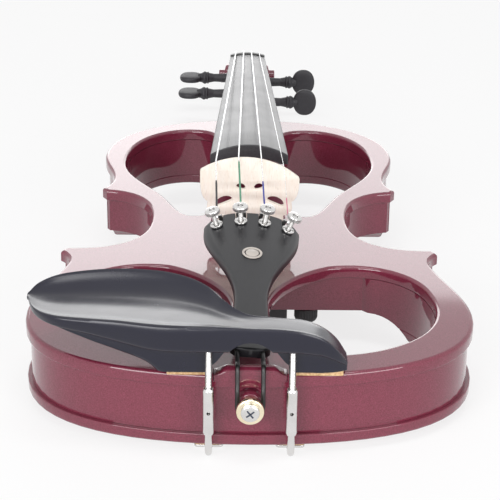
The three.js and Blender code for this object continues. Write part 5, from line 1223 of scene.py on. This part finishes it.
def makeLever(v):
    drop, thick, arm, tail = v.leverDrop, v.leverThick, v.leverArm, v.leverTail
    upper, rise, lip = -drop + thick, v.hookRise, v.hookLip
    side = pathPoints((-tail, -drop), [
        [(arm, -drop)],
        [(arm + thick * 0.7, -drop), (arm + thick, -drop + thick * 0.3), (arm + thick, upper)],
        [(arm + thick, rise - lip)], [(arm + thick - lip, rise)], [(arm, rise)], [(arm, upper + thick / 2)],
        [(arm - thick * 0.1, upper + thick * 0.2), (arm - thick * 0.3, upper), (arm - thick / 2, upper)],
        [(-tail, upper)]], 6)
    wide = v.leverWidth / 2
    blade = slabMesh("blade", side, [], easedLevels(-wide, wide, 0.25, 0.25, 3))
    stoodUp(blade, lambda p: Vector((p.z, p.x, p.y)))
    blade = carve(blade, [boxMesh(-v.slot / 2, v.slot / 2, 0, arm + 4, -2, 20)], angle=30)
    pinHalf = wide + slack + v.pinOut
    pin = rodMesh(v.pinRadius, -pinHalf, pinHalf, 24,
                  shift(0, v.pinY, -drop + thick / 2) @ towardTreble)
    return merged("lever", [blade, pin])


for i, key in enumerate(stringNames):
    place = tunerPlace(i)
    addPiece("tunerCollar_" + key, makeCollar(tuner), nickel, nodes=["tuner_collar_" + key], matrix=place)
    addPiece("tunerScrew_" + key, makeScrew(tuner), dullNickel, key + "_screw", ["tuner_screw_" + key], place)
    addPiece("tunerKnob_" + key, makeTunerKnob(tuner), nickel, key + "_knob", ["tuner_knob_" + key], place)
    addPiece("tunerLever_" + key, makeLever(tuner), dullNickel, key + "_lever", ["tuner_lever_" + key], place)
print("tuners made")

# Strings with their silk
stringValues = {
    "radius": {"g": 0.4, "d": 0.38, "a": 0.33, "e": 0.15}, "bridgeSpread": 34.8, "nutSpread": 16.5,
    "rest": 0.15, "turns": 3, "steps": 48, "gap": 0.5, "start": 0.8, "clear": 0.3,
    "silk": {"g": 0.62, "d": 0.9, "a": 0.56, "e": 0.4}, "silkOver": 0.12,
}
strings = SimpleNamespace(**stringValues)
silkColours = {"g": (0.012, 0.01, 0.012), "d": (0.06, 0.2, 0.12), "a": (0.03, 0.035, 0.22),
               "e": (0.5, 0.12, 0.2)}


def silkMaterial(key, colour):
    material, tree, shader = newMaterial("silk_" + key, Sheen_Weight=0.4, Sheen_Roughness=0.4)
    light = tuple(min(value * 1.6 + 0.02, 1) for value in colour)
    fleck = addFleck(tree, shader, colour, light, 4000.0, 1.2)
    addGloss(tree, shader, 0.5, 0.15, 300.0)
    addBump(tree, fleck, shader, 0.3, 0.0001)
    return material


def stringRoute(i, key):
    v, radius, place, at = strings, strings.radius[key], pegPlaces[key], tunerPlace(i)
    ball = at @ Vector((0, tuner.leverArm - tuner.ball - tuner.ballGap, tuner.ballRise))
    hook = at @ Vector((0, tuner.leverArm + tuner.leverThick, tuner.hookRise))
    bridgeX, nutX = v.bridgeSpread * (i / 3 - 0.5), v.nutSpread * (i / 3 - 0.5)
    nutZ = boardTop(nutY) + board.nutRise - boardDrop(nutX) + radius + v.rest
    over = Vector((bridgeX, bridgeY, bridgeArcZ(bridgeX) + radius + v.rest))
    leave = Vector((nutX, nutBack, nutZ))
    centre = Vector((0, nutY + place["along"], place["up"]))
    wide = peg.radius + v.clear + radius
    away = Vector((leave.y - centre.y, leave.z - centre.z))
    first = atan2(away.y, away.x) - acos(wide / away.length)
    route = [ball, hook, over, Vector((nutX, nutY + joint, nutZ)), leave]
    for step in range(v.turns * v.steps + 1):
        a = first - 2 * pi * step / v.steps
        x = place["side"] * (v.start + (2 * radius + v.gap) * step / v.steps)
        route.append(Vector((x, centre.y + wide * cos(a), centre.z + wide * sin(a))))
    return route


def makeString(i, key):
    route = stringRoute(i, key)
    return grow(wireTree, {"Radius": strings.radius[key], "Sides": 12}, windSteel, route)


def makeBall(i, key):  # moves with the lever that holds it
    profile = [(tuner.ball * sin(pi * k / 12) if 0 < k < 12 else 0,
                -tuner.ball * cos(pi * k / 12)) for k in range(13)]
    return latheMesh("ball", profile, 20, Matrix.Translation(stringRoute(i, key)[0]), 60)


def makeSilk(i, key):
    route = stringRoute(i, key)
    start, end = route[1].lerp(route[2], 0.03), route[1].lerp(route[2], strings.silk[key])
    wide = strings.radius[key] + strings.silkOver
    points = [start.lerp(end, k / 40) for k in range(41)]
    return tubeMesh("silk", points, lambda t: wide * (1 - 0.25 * max(0, t - 0.94) / 0.06), 12)


for i, key in enumerate(stringNames):
    addPiece("string_" + key, makeString(i, key), windSteel, nodes=["string_" + key])
    silk = addPiece("silkWrap_" + key, makeSilk(i, key), silkMaterial(key, silkColours[key]))
    ball = addPiece("stringBall_" + key, makeBall(i, key), windSteel, key + "_lever")
print("strings made")

# Saddle, tailgut and end button
endValues = {
    "saddleHalf": 15.8, "saddleTop": 9.6, "saddleRise": 3.3, "saddleDepth": 7, "saddleSeat": 3,
    "gut": 1, "gutHalf": 5.6, "gutSocket": 9, "z": 22.4, "bushing": 5.6, "bushingThick": 3.5,
    "neck": 4.3, "neckLong": 4.5, "flange": 6.2, "flangeThick": 3, "shank": 3.4, "shankLong": 14,
    "screw": 4.1, "screwThick": 1.8, "crossLong": 4.6, "crossWide": 1, "crossDeep": 1, "crossTurn": 38,
}
ends = SimpleNamespace(**endValues)


def makeSaddle(v):
    half, top, rise, depth = v.saddleHalf, v.saddleTop, v.saddleRise, v.saddleDepth
    seat = topZ - v.saddleSeat
    line = pathPoints((-half, 0), [
        [(-half * 0.85, 0), (-top * 1.25, rise), (-top, rise)],
        [(-top / 2, rise)], [(0, rise)], [(top / 2, rise)], [(top, rise)],
        [(top * 1.25, rise), (half * 0.85, 0), (half, 0)]], 12)
    rings = []
    for point in line:
        up = point.y + 0.02
        near, far = min(rise * 1.2, up * 1.2), min(rise, up)
        section = pathPoints((0, topZ + up - near), [
            [(0, topZ + up - near * 0.4), (near * 0.4, topZ + up), (near, topZ + up)],
            [(depth - far, topZ + up)],
            [(depth - far * 0.4, topZ + up), (depth, topZ + up - far * 0.6), (depth, topZ + up - far)]], 8)
        section += [Vector((depth, seat)), Vector((0, seat))]
        rings.append([Vector((point.x, p.x, p.y)) for p in section])
    return loftMesh("saddle", rings, 40)


def makeGut(v):
    seat = topZ - v.saddleSeat
    over = topZ + v.saddleRise + slack + v.gut
    outside = -v.bushingThick - slack - v.gut
    loop = v.neck + slack + v.gut
    side = [
        tailFrame @ Vector((v.gutHalf, v.gutSocket, -tail.thick / 2)),
        tailFrame @ Vector((v.gutHalf, -v.gut, -tail.thick / 2)),
        Vector((v.gutHalf, v.saddleDepth / 2, over)), Vector((v.gutHalf, v.gut, over)),
        Vector((v.gutHalf, -v.gut, over - v.gut)),
        Vector((v.gutHalf, outside / 2 - v.gut, seat)),
        Vector((loop, outside, v.z + loop)),
    ]
    other = [Vector((-p.x, p.y, p.z)) for p in reversed(side)]
    other[-2:] = [tailFrame @ Vector((-v.gutHalf, -v.gut, -tail.thick / 2)),
                  tailFrame @ Vector((-v.gutHalf, v.gutSocket, -tail.thick / 2))]
    ring = [Vector((loop * cos(a), outside, v.z - loop * sin(a)))
            for a in (pi * k / 12 for k in range(13))]
    return grow(wireTree, {"Radius": v.gut, "Sides": 16}, gutBlack, smoothed(side + ring + other, 5))


def makeBushing(v):
    bore = v.shank + slack
    profile = rounded([(bore, -1.7), (v.bushing, -1.7), (v.bushing, v.bushingThick * 0.6),
                       (v.bushing * 0.85, v.bushingThick), (bore, v.bushingThick), (bore, -1.7)], 0.5)
    return latheMesh("bushing", profile, 56, shift(z=v.z) @ towardTail, 45)


def makeButton(v):
    face = v.bushingThick
    neckEnd, flangeEnd = face + v.neckLong, face + v.neckLong + v.flangeThick
    profile = [(0, -v.shankLong), (v.shank, -v.shankLong)] + rounded([
        (v.shank, face + 0.15), (v.neck, face + 0.15), (v.neck * 0.88, mix(face, neckEnd, 0.5)),
        (v.neck, neckEnd - 0.3), (v.flange * 0.97, neckEnd + 0.5),
        (v.flange, neckEnd + v.flangeThick * 0.5), (v.flange * 0.97, flangeEnd - 0.4),
        (v.flange * 0.86, flangeEnd), (v.screw * 1.12, flangeEnd - 0.15), (v.screw, flangeEnd - 0.1)],
        0.5, 4) + [(0, flangeEnd - 0.1)]
    return latheMesh("button", profile, 56, shift(z=v.z) @ towardTail, 45)


def makeButtonScrew(v):
    base = v.bushingThick + v.neckLong + v.flangeThick + joint
    top = base - joint + v.screwThick
    profile = [(0, base), (v.screw, base), (v.screw, base + 0.5)]
    profile += [(v.screw * cos(a), base + 0.5 + (top - base - 0.5) * sin(a))
                for a in (pi / 2 * k / 10 for k in range(1, 10))] + [(0, top)]
    head = latheMesh("head", profile, 48, angle=50)
    tools = []
    for turned in (0, 90):
        long, wide = v.crossLong / 2, v.crossWide / 2
        plan = padPlan(-long, long, -wide, wide, 0.3)
        bar = slabMesh("bar", plan, [], [(top - v.crossDeep, 0.15), (top + 3, 0)])
        bar.transform(spin(turned + v.crossTurn, "Z"))
        tools.append(bar)
    # a thin dark film just above the floor of each cross bar paints the shade in the recess
    recessShade = []
    for tool in tools:
        film = tool.copy()
        for vertex in film.vertices:
            vertex.co.z = top - v.crossDeep + (0.04 if vertex.co.z < top else 0.1)
            vertex.co.x, vertex.co.y = vertex.co.x * 0.96, vertex.co.y * 0.96
        recessShade.append(film)
    place = shift(z=v.z) @ towardTail
    head = carve(head, tools, angle=40)
    for mesh in [head, *recessShade]:
        mesh.transform(place)
    return head, merged("recessShade", recessShade)


addPiece("saddle", makeSaddle(ends), lacquer, nodes=["saddle"])
addPiece("tailgut", makeGut(ends), gutBlack, nodes=["tailgut"])
addPiece("endButtonBushing", makeBushing(ends), lacquer, nodes=["end_button_bushing"])
addPiece("endButton", makeButton(ends), goldBrass, nodes=["end_button"])
screwHead, screwRecessShade = makeButtonScrew(ends)
addPiece("endButtonScrew", screwHead, nickel, nodes=["end_button_screw"])
# the dark film in the cross recess is painted shade
recessShade = addPiece("crossRecessShade", screwRecessShade, recessShadeFilm)
print("tail end made")

# Chin rest and its clamp
chinValues = {
    "reach": 98, "tail": 41.5, "depth": 52, "height": 29, "cork": 2.4, "archHalf": 16.6, "archHeight": 19.6,
    "archFoot": 6, "undercut": 3, "dishFill": 0.4, "clampX": 18, "clampY": -5, "rod": 1.6, "rodTop": 56,
    "rodEngage": 9, "thread": 0.25, "barrel": 2.6, "barrelTop": 31.1, "barrelBottom": 8.8, "keyHole": 0.8,
    "pitch": 0.7, "bend": 5,
    "padStart": 4, "padLength": 13, "padWidth": 13, "padRound": 2, "padThick": 1.3, "footCork": 1.4,
    "corks": {"left": (-36.26, -16.9, 0.3, 10.4), "right": (16.9, 40.255, 0.3, 10.4)},
    "lining": (-6.5, 6.5, 9, 22),
}
chin = SimpleNamespace(**chinValues)
# Slices from the left tip to the right end, as shares: across, front edge, back edge, front rim, dish,
# back rim, underside of the front lip, lowest part, its start and end, underside at the back
chinSliceShares = [
    [-1, 0.5, 0.6, 0.86, 0.85, 0.87, 0.79, 0.775, 0.53, 0.57, 0.78],
    [-0.96, 0.26, 0.73, 0.86, 0.8, 0.93, 0.75, 0.71, 0.36, 0.5, 0.74],
    [-0.87, 0.08, 0.86, 0.88, 0.72, 0.97, 0.72, 0.65, 0.2, 0.5, 0.68],
    [-0.72, 0, 0.95, 0.89, 0.68, 0.98, 0.66, 0.5, 0.1, 0.36, 0.62],
    [-0.58, -0.06, 0.98, 0.9, 0.66, 0.98, 0.58, 0.38, 0.03, 0.28, 0.6],
    [-0.46, -0.12, 0.97, 0.9, 0.66, 0.97, 0.52, 0.24, -0.01, 0.25, 0.59],
    [-0.37, -0.15, 0.93, 0.9, 0.67, 0.96, 0.5, 0, -0.02, 0.24, 0.58],
    [-0.27, -0.16, 0.82, 0.9, 0.68, 0.95, 0.5, 0, -0.02, 0.24, 0.58],
    [-0.19, -0.16, 0.66, 0.9, 0.7, 0.93, 0.5, 0, -0.02, 0.24, 0.58],
    [-0.13, -0.16, 0.46, 0.9, 0.74, 0.9, 0.5, 0, -0.02, 0.24, 0.58],
    [-0.06, -0.16, 0.28, 0.89, 0.79, 0.86, 0.5, 0, -0.02, 0.18, 0.56],
    [0, -0.16, 0.2, 0.88, 0.82, 0.84, 0.5, 0, -0.02, 0.13, 0.54],
    [0.3, -0.16, 0.19, 0.87, 0.81, 0.8, 0.5, 0, -0.02, 0.13, 0.5],
    [0.55, -0.155, 0.21, 0.82, 0.77, 0.75, 0.48, 0, -0.02, 0.15, 0.42],
    [0.75, -0.13, 0.23, 0.7, 0.67, 0.62, 0.42, 0, -0.02, 0.19, 0.34],
    [0.9, -0.09, 0.24, 0.48, 0.46, 0.44, 0.3, 0, 0, 0.19, 0.26],
    [1, -0.02, 0.21, 0.26, 0.25, 0.24, 0.18, 0.05, 0.03, 0.17, 0.16],
]


def chinSlice(row, v):
    across, front, back, *rest = row
    rimFront, dish, rimBack, lip, low = (topZ + share * v.height for share in rest[:5])
    dish = mix(dish, rimFront, v.dishFill)
    lowStart, lowEnd = (share * v.depth for share in rest[5:7])
    under = topZ + rest[7] * v.height
    front, back = front * v.depth, back * v.depth
    wall = min(back - front, v.undercut)
    lipEnd = front + wall * 0.4
    section = [
        (front, rimFront), (front, mix(rimFront, lip, 0.7)), (lipEnd, lip),
        (mix(lipEnd, lowStart, 0.8), mix(lip, low, 0.15)), (lowStart, low), (lowEnd, low),
        (mix(lowEnd, back, 0.25), mix(low, under, 0.8)), (mix(lowEnd, back, 0.8), under),
        (back, mix(under, rimBack, 0.5)), (back - wall * 0.25, rimBack),
        (mix(front, back, 0.86), mix(dish, rimBack, 0.42)), (mix(front, back, 0.68), dish),
        (mix(front, back, 0.38), mix(dish, rimFront, 0.56)),
        (mix(front, back, 0.13), mix(dish, rimFront, 0.9)),
    ]
    x = across * (v.reach if across < 0 else v.tail)
    return [Vector((x, along, up)) for along, up in section]


def makeChinRest(v):
    slices = [smoothed(chinSlice(row, v), 5, True) for row in chinSliceShares]
    columns = [smoothed([one[k] for one in slices], 5) for k in range(len(slices[0]))]
    rings = [[column[i] for column in columns] for i in range(len(columns[0]))]

    def tip(ring, out):  # closes an end with a rounded cap
        centre = sum(ring, Vector()) / len(ring)
        return [[centre.lerp(p, cos(a)) + Vector((out * sin(a), 0, 0)) for p in ring]
                for a in (pi / 2 * k / 5 for k in range(1, 5))]
    rings = list(reversed(tip(rings[0], -0.8))) + rings + tip(rings[-1], 0.4)
    rest = loftMesh("chinRest", rings, 40)
    crown = topZ + v.archHeight
    foot = topZ + v.archFoot
    half = v.archHalf
    arch = [(-half, topZ - 20), (half, topZ - 20)] + [tuple(p) for p in pathPoints((half, foot), [
        [(half * 0.69, topZ + v.archHeight * 0.48), (half * 0.58, crown), (0, crown)],
        [(-half * 0.58, crown), (-half * 0.69, topZ + v.archHeight * 0.48), (-half, foot)]], 20)]
    sole = topZ + v.cork + 0.2
    tools = [alongY(arch, -v.depth, v.depth), boxMesh(-110, 60, -60, 60, topZ - 20, sole)]
    tools += [rodMesh(v.rod + slack, 5, v.rodTop + slack, 24,
                      shift(side * v.clampX, v.clampY, 0)) for side in (-1, 1)]
    return carve(rest, tools, angle=38)


def makeRod(v):
    low, top, core = v.barrelTop - v.rodEngage, v.rodTop, v.rod
    profile = rounded([(0, low), (core - 0.22, low), (core - 0.22, top - 0.3), (core * 0.5, top), (0, top)],
                      0.3)
    body = latheMesh("rod", profile, 24, angle=45)
    count = int((top - low - 1.2) / v.pitch)
    thread = grow(threadTree, {"Count": count, "Pitch": v.pitch, "Radius": core - v.thread,
                               "Depth": v.thread}, nickel)
    thread.transform(shift(0, 0, low + 0.6))
    return merged("rod", [body, thread])


def makeBarrel(v):
    bore, wide, low, top = v.rod + slack, v.barrel, v.barrelBottom, v.barrelTop
    profile = rounded([(bore, low), (wide * 0.82, low), (wide, low + 1.2), (wide, top - 1.2),
                       (wide * 0.82, top), (bore, top), (bore, low)], 0.4)
    barrel = latheMesh("barrel", profile, 36, angle=45)
    hole = rodMesh(v.keyHole, -past, past, 20, shift(0, 0, (low + top) / 2) @ towardTail)
    return carve(barrel, [hole], angle=45)


def makeFoot(v):
    padTop = -v.footCork - 0.2
    middle = padTop - v.padThick / 2
    bend, y0 = v.bend, -v.clampY + v.padStart
    path = [Vector((0, 0, z)) for z in (v.barrelBottom + v.rodEngage, 12, 6)]
    path += [Vector((0, bend * (1 - cos(a)), middle + bend * (1 - sin(a)))) for a in
             (pi / 2 * k / 12 for k in range(13))] + [Vector((0, y0 + 2, middle))]
    wire = grow(wireTree, {"Radius": v.rod, "Sides": 20}, nickel, path)
    wire = carve(wire, [boxMesh(-10, 10, y0 - slack, y0 + past, padTop, 30)], angle=40)
    half = v.padWidth / 2
    pad = padMesh("pad", (-half, half, y0, y0 + v.padLength), v.padRound,
                  (padTop - v.padThick, padTop, 0.4, 0.25, 4))
    return merged("foot", [wire, pad])


addPiece("chinRest", makeChinRest(chin), satinBlack, nodes=["chin_rest"])
for key, sides in chin.corks.items():
    corkPad = padMesh("cork", sides, 0.8, (topZ + joint, topZ + joint + chin.cork, 0.3, 0.3, 3))
    addPiece("chinRestCork_" + key, corkPad, corkSheet, nodes=["chin_rest_cork_" + key])
for key, side in (("left", -1), ("right", 1)):
    at = shift(side * chin.clampX, chin.clampY, 0)
    addPiece("clampRod_" + key, makeRod(chin), nickel, nodes=["clamp_rod_" + key], matrix=at)
    addPiece("clampBarrel_" + key, makeBarrel(chin), nickel, key + "_barrel", ["clamp_barrel_" + key], at)
    addPiece("clampFoot_" + key, makeFoot(chin), nickel, key + "_foot", ["clamp_foot_" + key], at)
    lining = padMesh("lining", chin.lining, chin.padRound, (-joint - chin.footCork, -joint, 0.2, 0.2, 2))
    addPiece("clampCork_" + key, lining, corkSheet, key + "_foot", ["clamp_cork_" + key], at)
print("chin rest made")

# Electronics under the waist
boxValues = {
    "left": -48, "right": 19.4, "start": 124.5, "length": 50, "top": 9.9, "bottom": 1.3, "bend": 1.6,
    "edge": 0.8,
    "cellX": -30, "cellY": 149.5, "cellLong": 45, "cellWide": 26, "cellLow": 3.1, "cellThick": 16.5,
    "cellRound": 1,
    "contact": 2.8, "contactRise": 2.4, "door": 1.5, "ridges": 7, "ridge": 0.35, "ridgeStep": 1.1,
    "switchX": 6, "switchY": 132, "switchLong": 4, "switchWide": 2.6, "switchTravel": 3, "switchRise": 1.2,
    "jackX": 8, "jackY": 152, "jack": 5.5, "jackBore": 3.3, "jackLong": 20, "jackNut": 6.6,
    "phonesX": -9, "phones": 3.4, "phonesBore": 1.85, "phonesLong": 12, "phonesNut": 4.3, "rim": 1,
    "knobX": 29.2, "knobY": 131, "knobStep": 17, "knob": 6, "knobLow": 1.4, "knobTop": 8.4, "stem": 3,
    "stemTop": 9.7, "grips": 26, "gripRadius": 0.3, "gripTall": 5.2, "pointerHalf": 0.28,
}
box = SimpleNamespace(**boxValues)


def makeHousing(v):
    low = v.bottom
    housing = padMesh("housing", (v.left, v.right, v.start, v.start + v.length), v.bend,
                      (low, v.top, v.edge, 0.1, 4))
    cellX, cellY = v.cellWide / 2 + slack, v.cellLong / 2 + slack
    seatX, seatY = v.switchLong / 2 + slack, v.switchWide / 2 + slack
    tools = [boxMesh(v.cellX - cellX, v.cellX + cellX, v.cellY - cellY, v.cellY + cellY, -past, 2 * past),
             boxMesh(v.switchX - seatX, v.switchX + seatX + v.switchTravel, v.switchY - seatY,
                     v.switchY + seatY, -past, low + 2 * v.switchRise),
             rodMesh(v.jack + slack, -past, past, 40, shift(v.jackX, v.jackY)),
             rodMesh(v.phones + slack, -past, past, 32, shift(v.phonesX, v.jackY))]
    return carve(housing, tools)


def makeCell(v):
    halfX, halfY = v.cellWide / 2, v.cellLong / 2
    end = v.cellY + halfY - v.contactRise
    low = v.cellLow
    meshes = [padMesh("cell", (v.cellX - halfX, v.cellX + halfX, v.cellY - halfY, end), v.cellRound,
                      (low, low + v.cellThick, v.cellRound, v.cellRound, 4))]
    for side, sides in ((-1, 6), (1, 32)):
        at = shift(v.cellX + side * v.cellWide / 4, end - 0.1, low + v.cellThick / 2)
        turned = at @ spin(-90, "X")
        profile = rounded([(0, 0), (v.contact * 0.95, 0), (v.contact, v.contactRise),
                           (v.contact * 0.7, v.contactRise), (v.contact * 0.6, 0.8), (0, 0.8)], 0.2)
        meshes.append(latheMesh("contact", profile, sides, turned, 40))
    return merged("battery", meshes)


def makeDoor(v):
    low, thick = v.bottom, v.door
    halfX, halfY = v.cellWide / 2, v.cellLong / 2
    hinge = v.cellX - halfX + thick / 2
    profile = [(hinge + thick / 2 * cos(a), low + thick / 2 + thick / 2 * sin(a))
               for a in (pi * (0.5 + k / 12) for k in range(13))]
    profile += rounded([(hinge, low), (v.cellX + halfX, low), (v.cellX + halfX, low + thick),
                        (hinge, low + thick)], 0.3)[1:-1]
    door = alongY(profile, v.cellY - halfY, v.cellY + halfY)
    ribs = []
    for k in range(v.ridges):
        x = v.cellX + halfX - 3 - v.ridgeStep * k
        ribs.append(rodMesh(v.ridge, -halfY * 0.4, halfY * 0.4, 10,
                            shift(x, v.cellY, low + 0.1) @ towardTail))
    return merged("door", [door, *ribs])


def makeSwitch(v):
    halfX, halfY = v.switchLong / 2, v.switchWide / 2
    low, high = v.bottom - v.switchRise / 2, v.bottom + 2 * v.switchRise - slack
    plan = padPlan(v.switchX - halfX, v.switchX + halfX, v.switchY - halfY,
                   v.switchY + halfY, 0.3)
    button = slabMesh("switch", plan, [], easedLevels(low, high, 0.2, 0.1, 3))
    tools = [rodMesh(0.25, -2, 2, 10, shift(v.switchX + 0.9 * k, v.switchY, low) @ towardTail)
             for k in (-1, 0, 1)]
    return carve(button, tools, angle=30)


def makeJack(v, x, radius, bore, length, nut):
    low, rim = v.bottom - v.rim, v.rim
    top = v.bottom + length
    at = shift(x, v.jackY)
    profile = [(0, top - rim), (bore, top - rim)] + rounded([
        (bore, top - rim), (bore, low + 0.4), (bore + 0.4, low), (radius - 0.3, low), (radius, low + 0.3),
        (radius, top)], 0.2)[1:] + [(0, top)]
    barrel = latheMesh("jack", profile, 40, at, 40)
    ring = latheMesh("nut", [(radius - 0.5, low + 0.35), (nut, low + 0.35), (nut, v.bottom - 0.05),
                             (radius - 0.5, v.bottom - 0.05), (radius - 0.5, low + 0.35)], 6, at, 30)
    return merged("jack", [barrel, ring])


def makeControlKnob(v, y):
    low, top, wide = v.knobLow, v.knobTop, v.knob
    profile = [(0, low)] + rounded([(0.01, low), (wide * 0.85, low), (wide * 0.96, low + 1),
                                    (wide * 0.95, top), (v.stem, top), (v.stem, v.stemTop)], 0.5, 4)[1:]
    profile.append((0, v.stemTop))
    body = latheMesh("knob", profile, 48, angle=40)
    groove = boxMesh(-0.35, 0.35, 1.5, wide - slack, low - 1, low + 0.35)
    body = carve(body, [groove], angle=40)
    ribs = grow(ribTree, {"Count": v.grips, "Radius": wide * 0.945, "Rib Radius": v.gripRadius,
                          "Height": v.gripTall}, mouldedBlack)
    ribs.transform(shift(0, 0, (low + top) / 2 + 0.6))
    done = merged("knob", [body, ribs])
    done.transform(shift(v.knobX, y))
    return done


def makePointer(v, y):
    line = boxMesh(-v.pointerHalf, v.pointerHalf, 1.7, v.knob - 0.5, v.knobLow + 0.1, v.knobLow + 0.33)
    line.transform(shift(v.knobX, y))
    return line


addPiece("controlBox", makeHousing(box), mouldedBlack, nodes=["control_box"])
addPiece("battery", makeCell(box), cellCase, nodes=["battery"])
addPiece("batteryDoor", makeDoor(box), mouldedBlack, "door", ["battery_door"])
addPiece("powerSwitch", makeSwitch(box), nickel, "switch", ["power_switch"])
outputJack = makeJack(box, box.jackX, box.jack, box.jackBore, box.jackLong, box.jackNut)
phonesJack = makeJack(box, box.phonesX, box.phones, box.phonesBore, box.phonesLong, box.phonesNut)
addPiece("outputJack", outputJack, dullNickel, nodes=["output_jack"])
addPiece("phonesJack", phonesJack, dullNickel, nodes=["phones_jack"])
for k, key in enumerate(("volume", "tone")):
    y = box.knobY + k * box.knobStep
    addPiece(key + "Knob", makeControlKnob(box, y), mouldedBlack, key, [key + "_knob"])
    pointer = addPiece(key + "Pointer", makePointer(box, y), pearl, key)
print("electronics made")

# Studio: pale floor, large soft lights and a white surround
studioValues = {
    "floor": (0.985, 0.985, 0.99), "floorHalf": 2.3, "floorGlow": 0.78, "surround": 0.33, "aim": (0, 0, 0.05),
    "back": {"place": (0, 2.4, 0.65), "size": (1.8, 1.22), "power": 13.6},
    "side": {"place": (-0.5, 2.35, 0.78), "size": (1.0, 0.9), "power": 1.8},
    "top": {"place": (0, -0.6, 1.9), "size": (1.3, 0.4), "power": 10},
    "key": {"place": (-0.9, -2.1, 0.9), "size": (1.4, 1.0), "power": 32},
    "fill": {"place": (1.2, -1.9, 0.7), "size": (1.2, 0.9), "power": 19},
}


def seenRays(tree):  # one where the camera, a reflection or clear glass looks
    rays = tree.nodes.new("ShaderNodeLightPath").outputs
    seen = rays["Is Camera Ray"]
    for label in ("Is Glossy Ray", "Is Transmission Ray"):
        seen = feed(tree, "ShaderNodeMath", {0: seen, 1: rays[label]}, operation="MAXIMUM")
    return seen


def floorMaterial(colour, glowShare):
    material, tree, shader = newMaterial("studioFloor", Roughness=1.0, Specular_IOR_Level=0.0)
    addFleck(tree, shader, colour, tuple(min(value + 0.008, 1) for value in colour), 9.0, 0.6)
    share = feed(tree, "ShaderNodeMath", {0: seenRays(tree), 1: glowShare}, operation="MULTIPLY")
    glow = feed(tree, "ShaderNodeEmission")
    blend = feed(tree, "ShaderNodeMixShader", {0: share, 1: shader.outputs["BSDF"], 2: glow})
    link(tree, blend, tree.nodes["Material Output"].inputs["Surface"])
    return material


def addFloor(values):
    half = values["floorHalf"]
    corners = [(-half, -half, 0), (half, -half, 0), (half, half, 0), (-half, half, 0)]
    mesh = newMesh("floor", corners, [(0, 1, 2, 3)])
    mesh.materials.append(floorMaterial(values["floor"], values["floorGlow"]))
    floor = asObject(mesh)


def addLight(name, values, aimedAt):
    data = bpy.data.lights.new(name, "AREA")
    data.shape = "RECTANGLE"
    data.size, data.size_y = values["size"]
    data.energy = values["power"]
    light = bpy.data.objects.new(name, data)
    scene.collection.objects.link(light)
    aim = Vector(aimedAt) - Vector(values["place"])
    turned = aim.to_track_quat("-Z", "Y").to_matrix().to_4x4()
    light.matrix_world = Matrix.Translation(values["place"]) @ turned
    light.visible_camera = False


def whiteSurround(strength):
    world = bpy.data.worlds.new("surround")
    world.use_nodes = True
    tree = world.node_tree
    level = feed(tree, "ShaderNodeMix", {"A": strength, "B": 1, "Factor": seenRays(tree)}, "Result")
    back = tree.nodes["Background"].inputs
    back["Color"].default_value = (1, 1, 1, 1)
    link(tree, level, back["Strength"])
    scene.world = world


addFloor(studioValues)
for key in ("back", "side", "top", "key", "fill"):
    addLight(key + "Light", studioValues[key], studioValues["aim"])
whiteSurround(studioValues["surround"])
scene.view_settings.view_transform = "Standard"
print("studio lit")
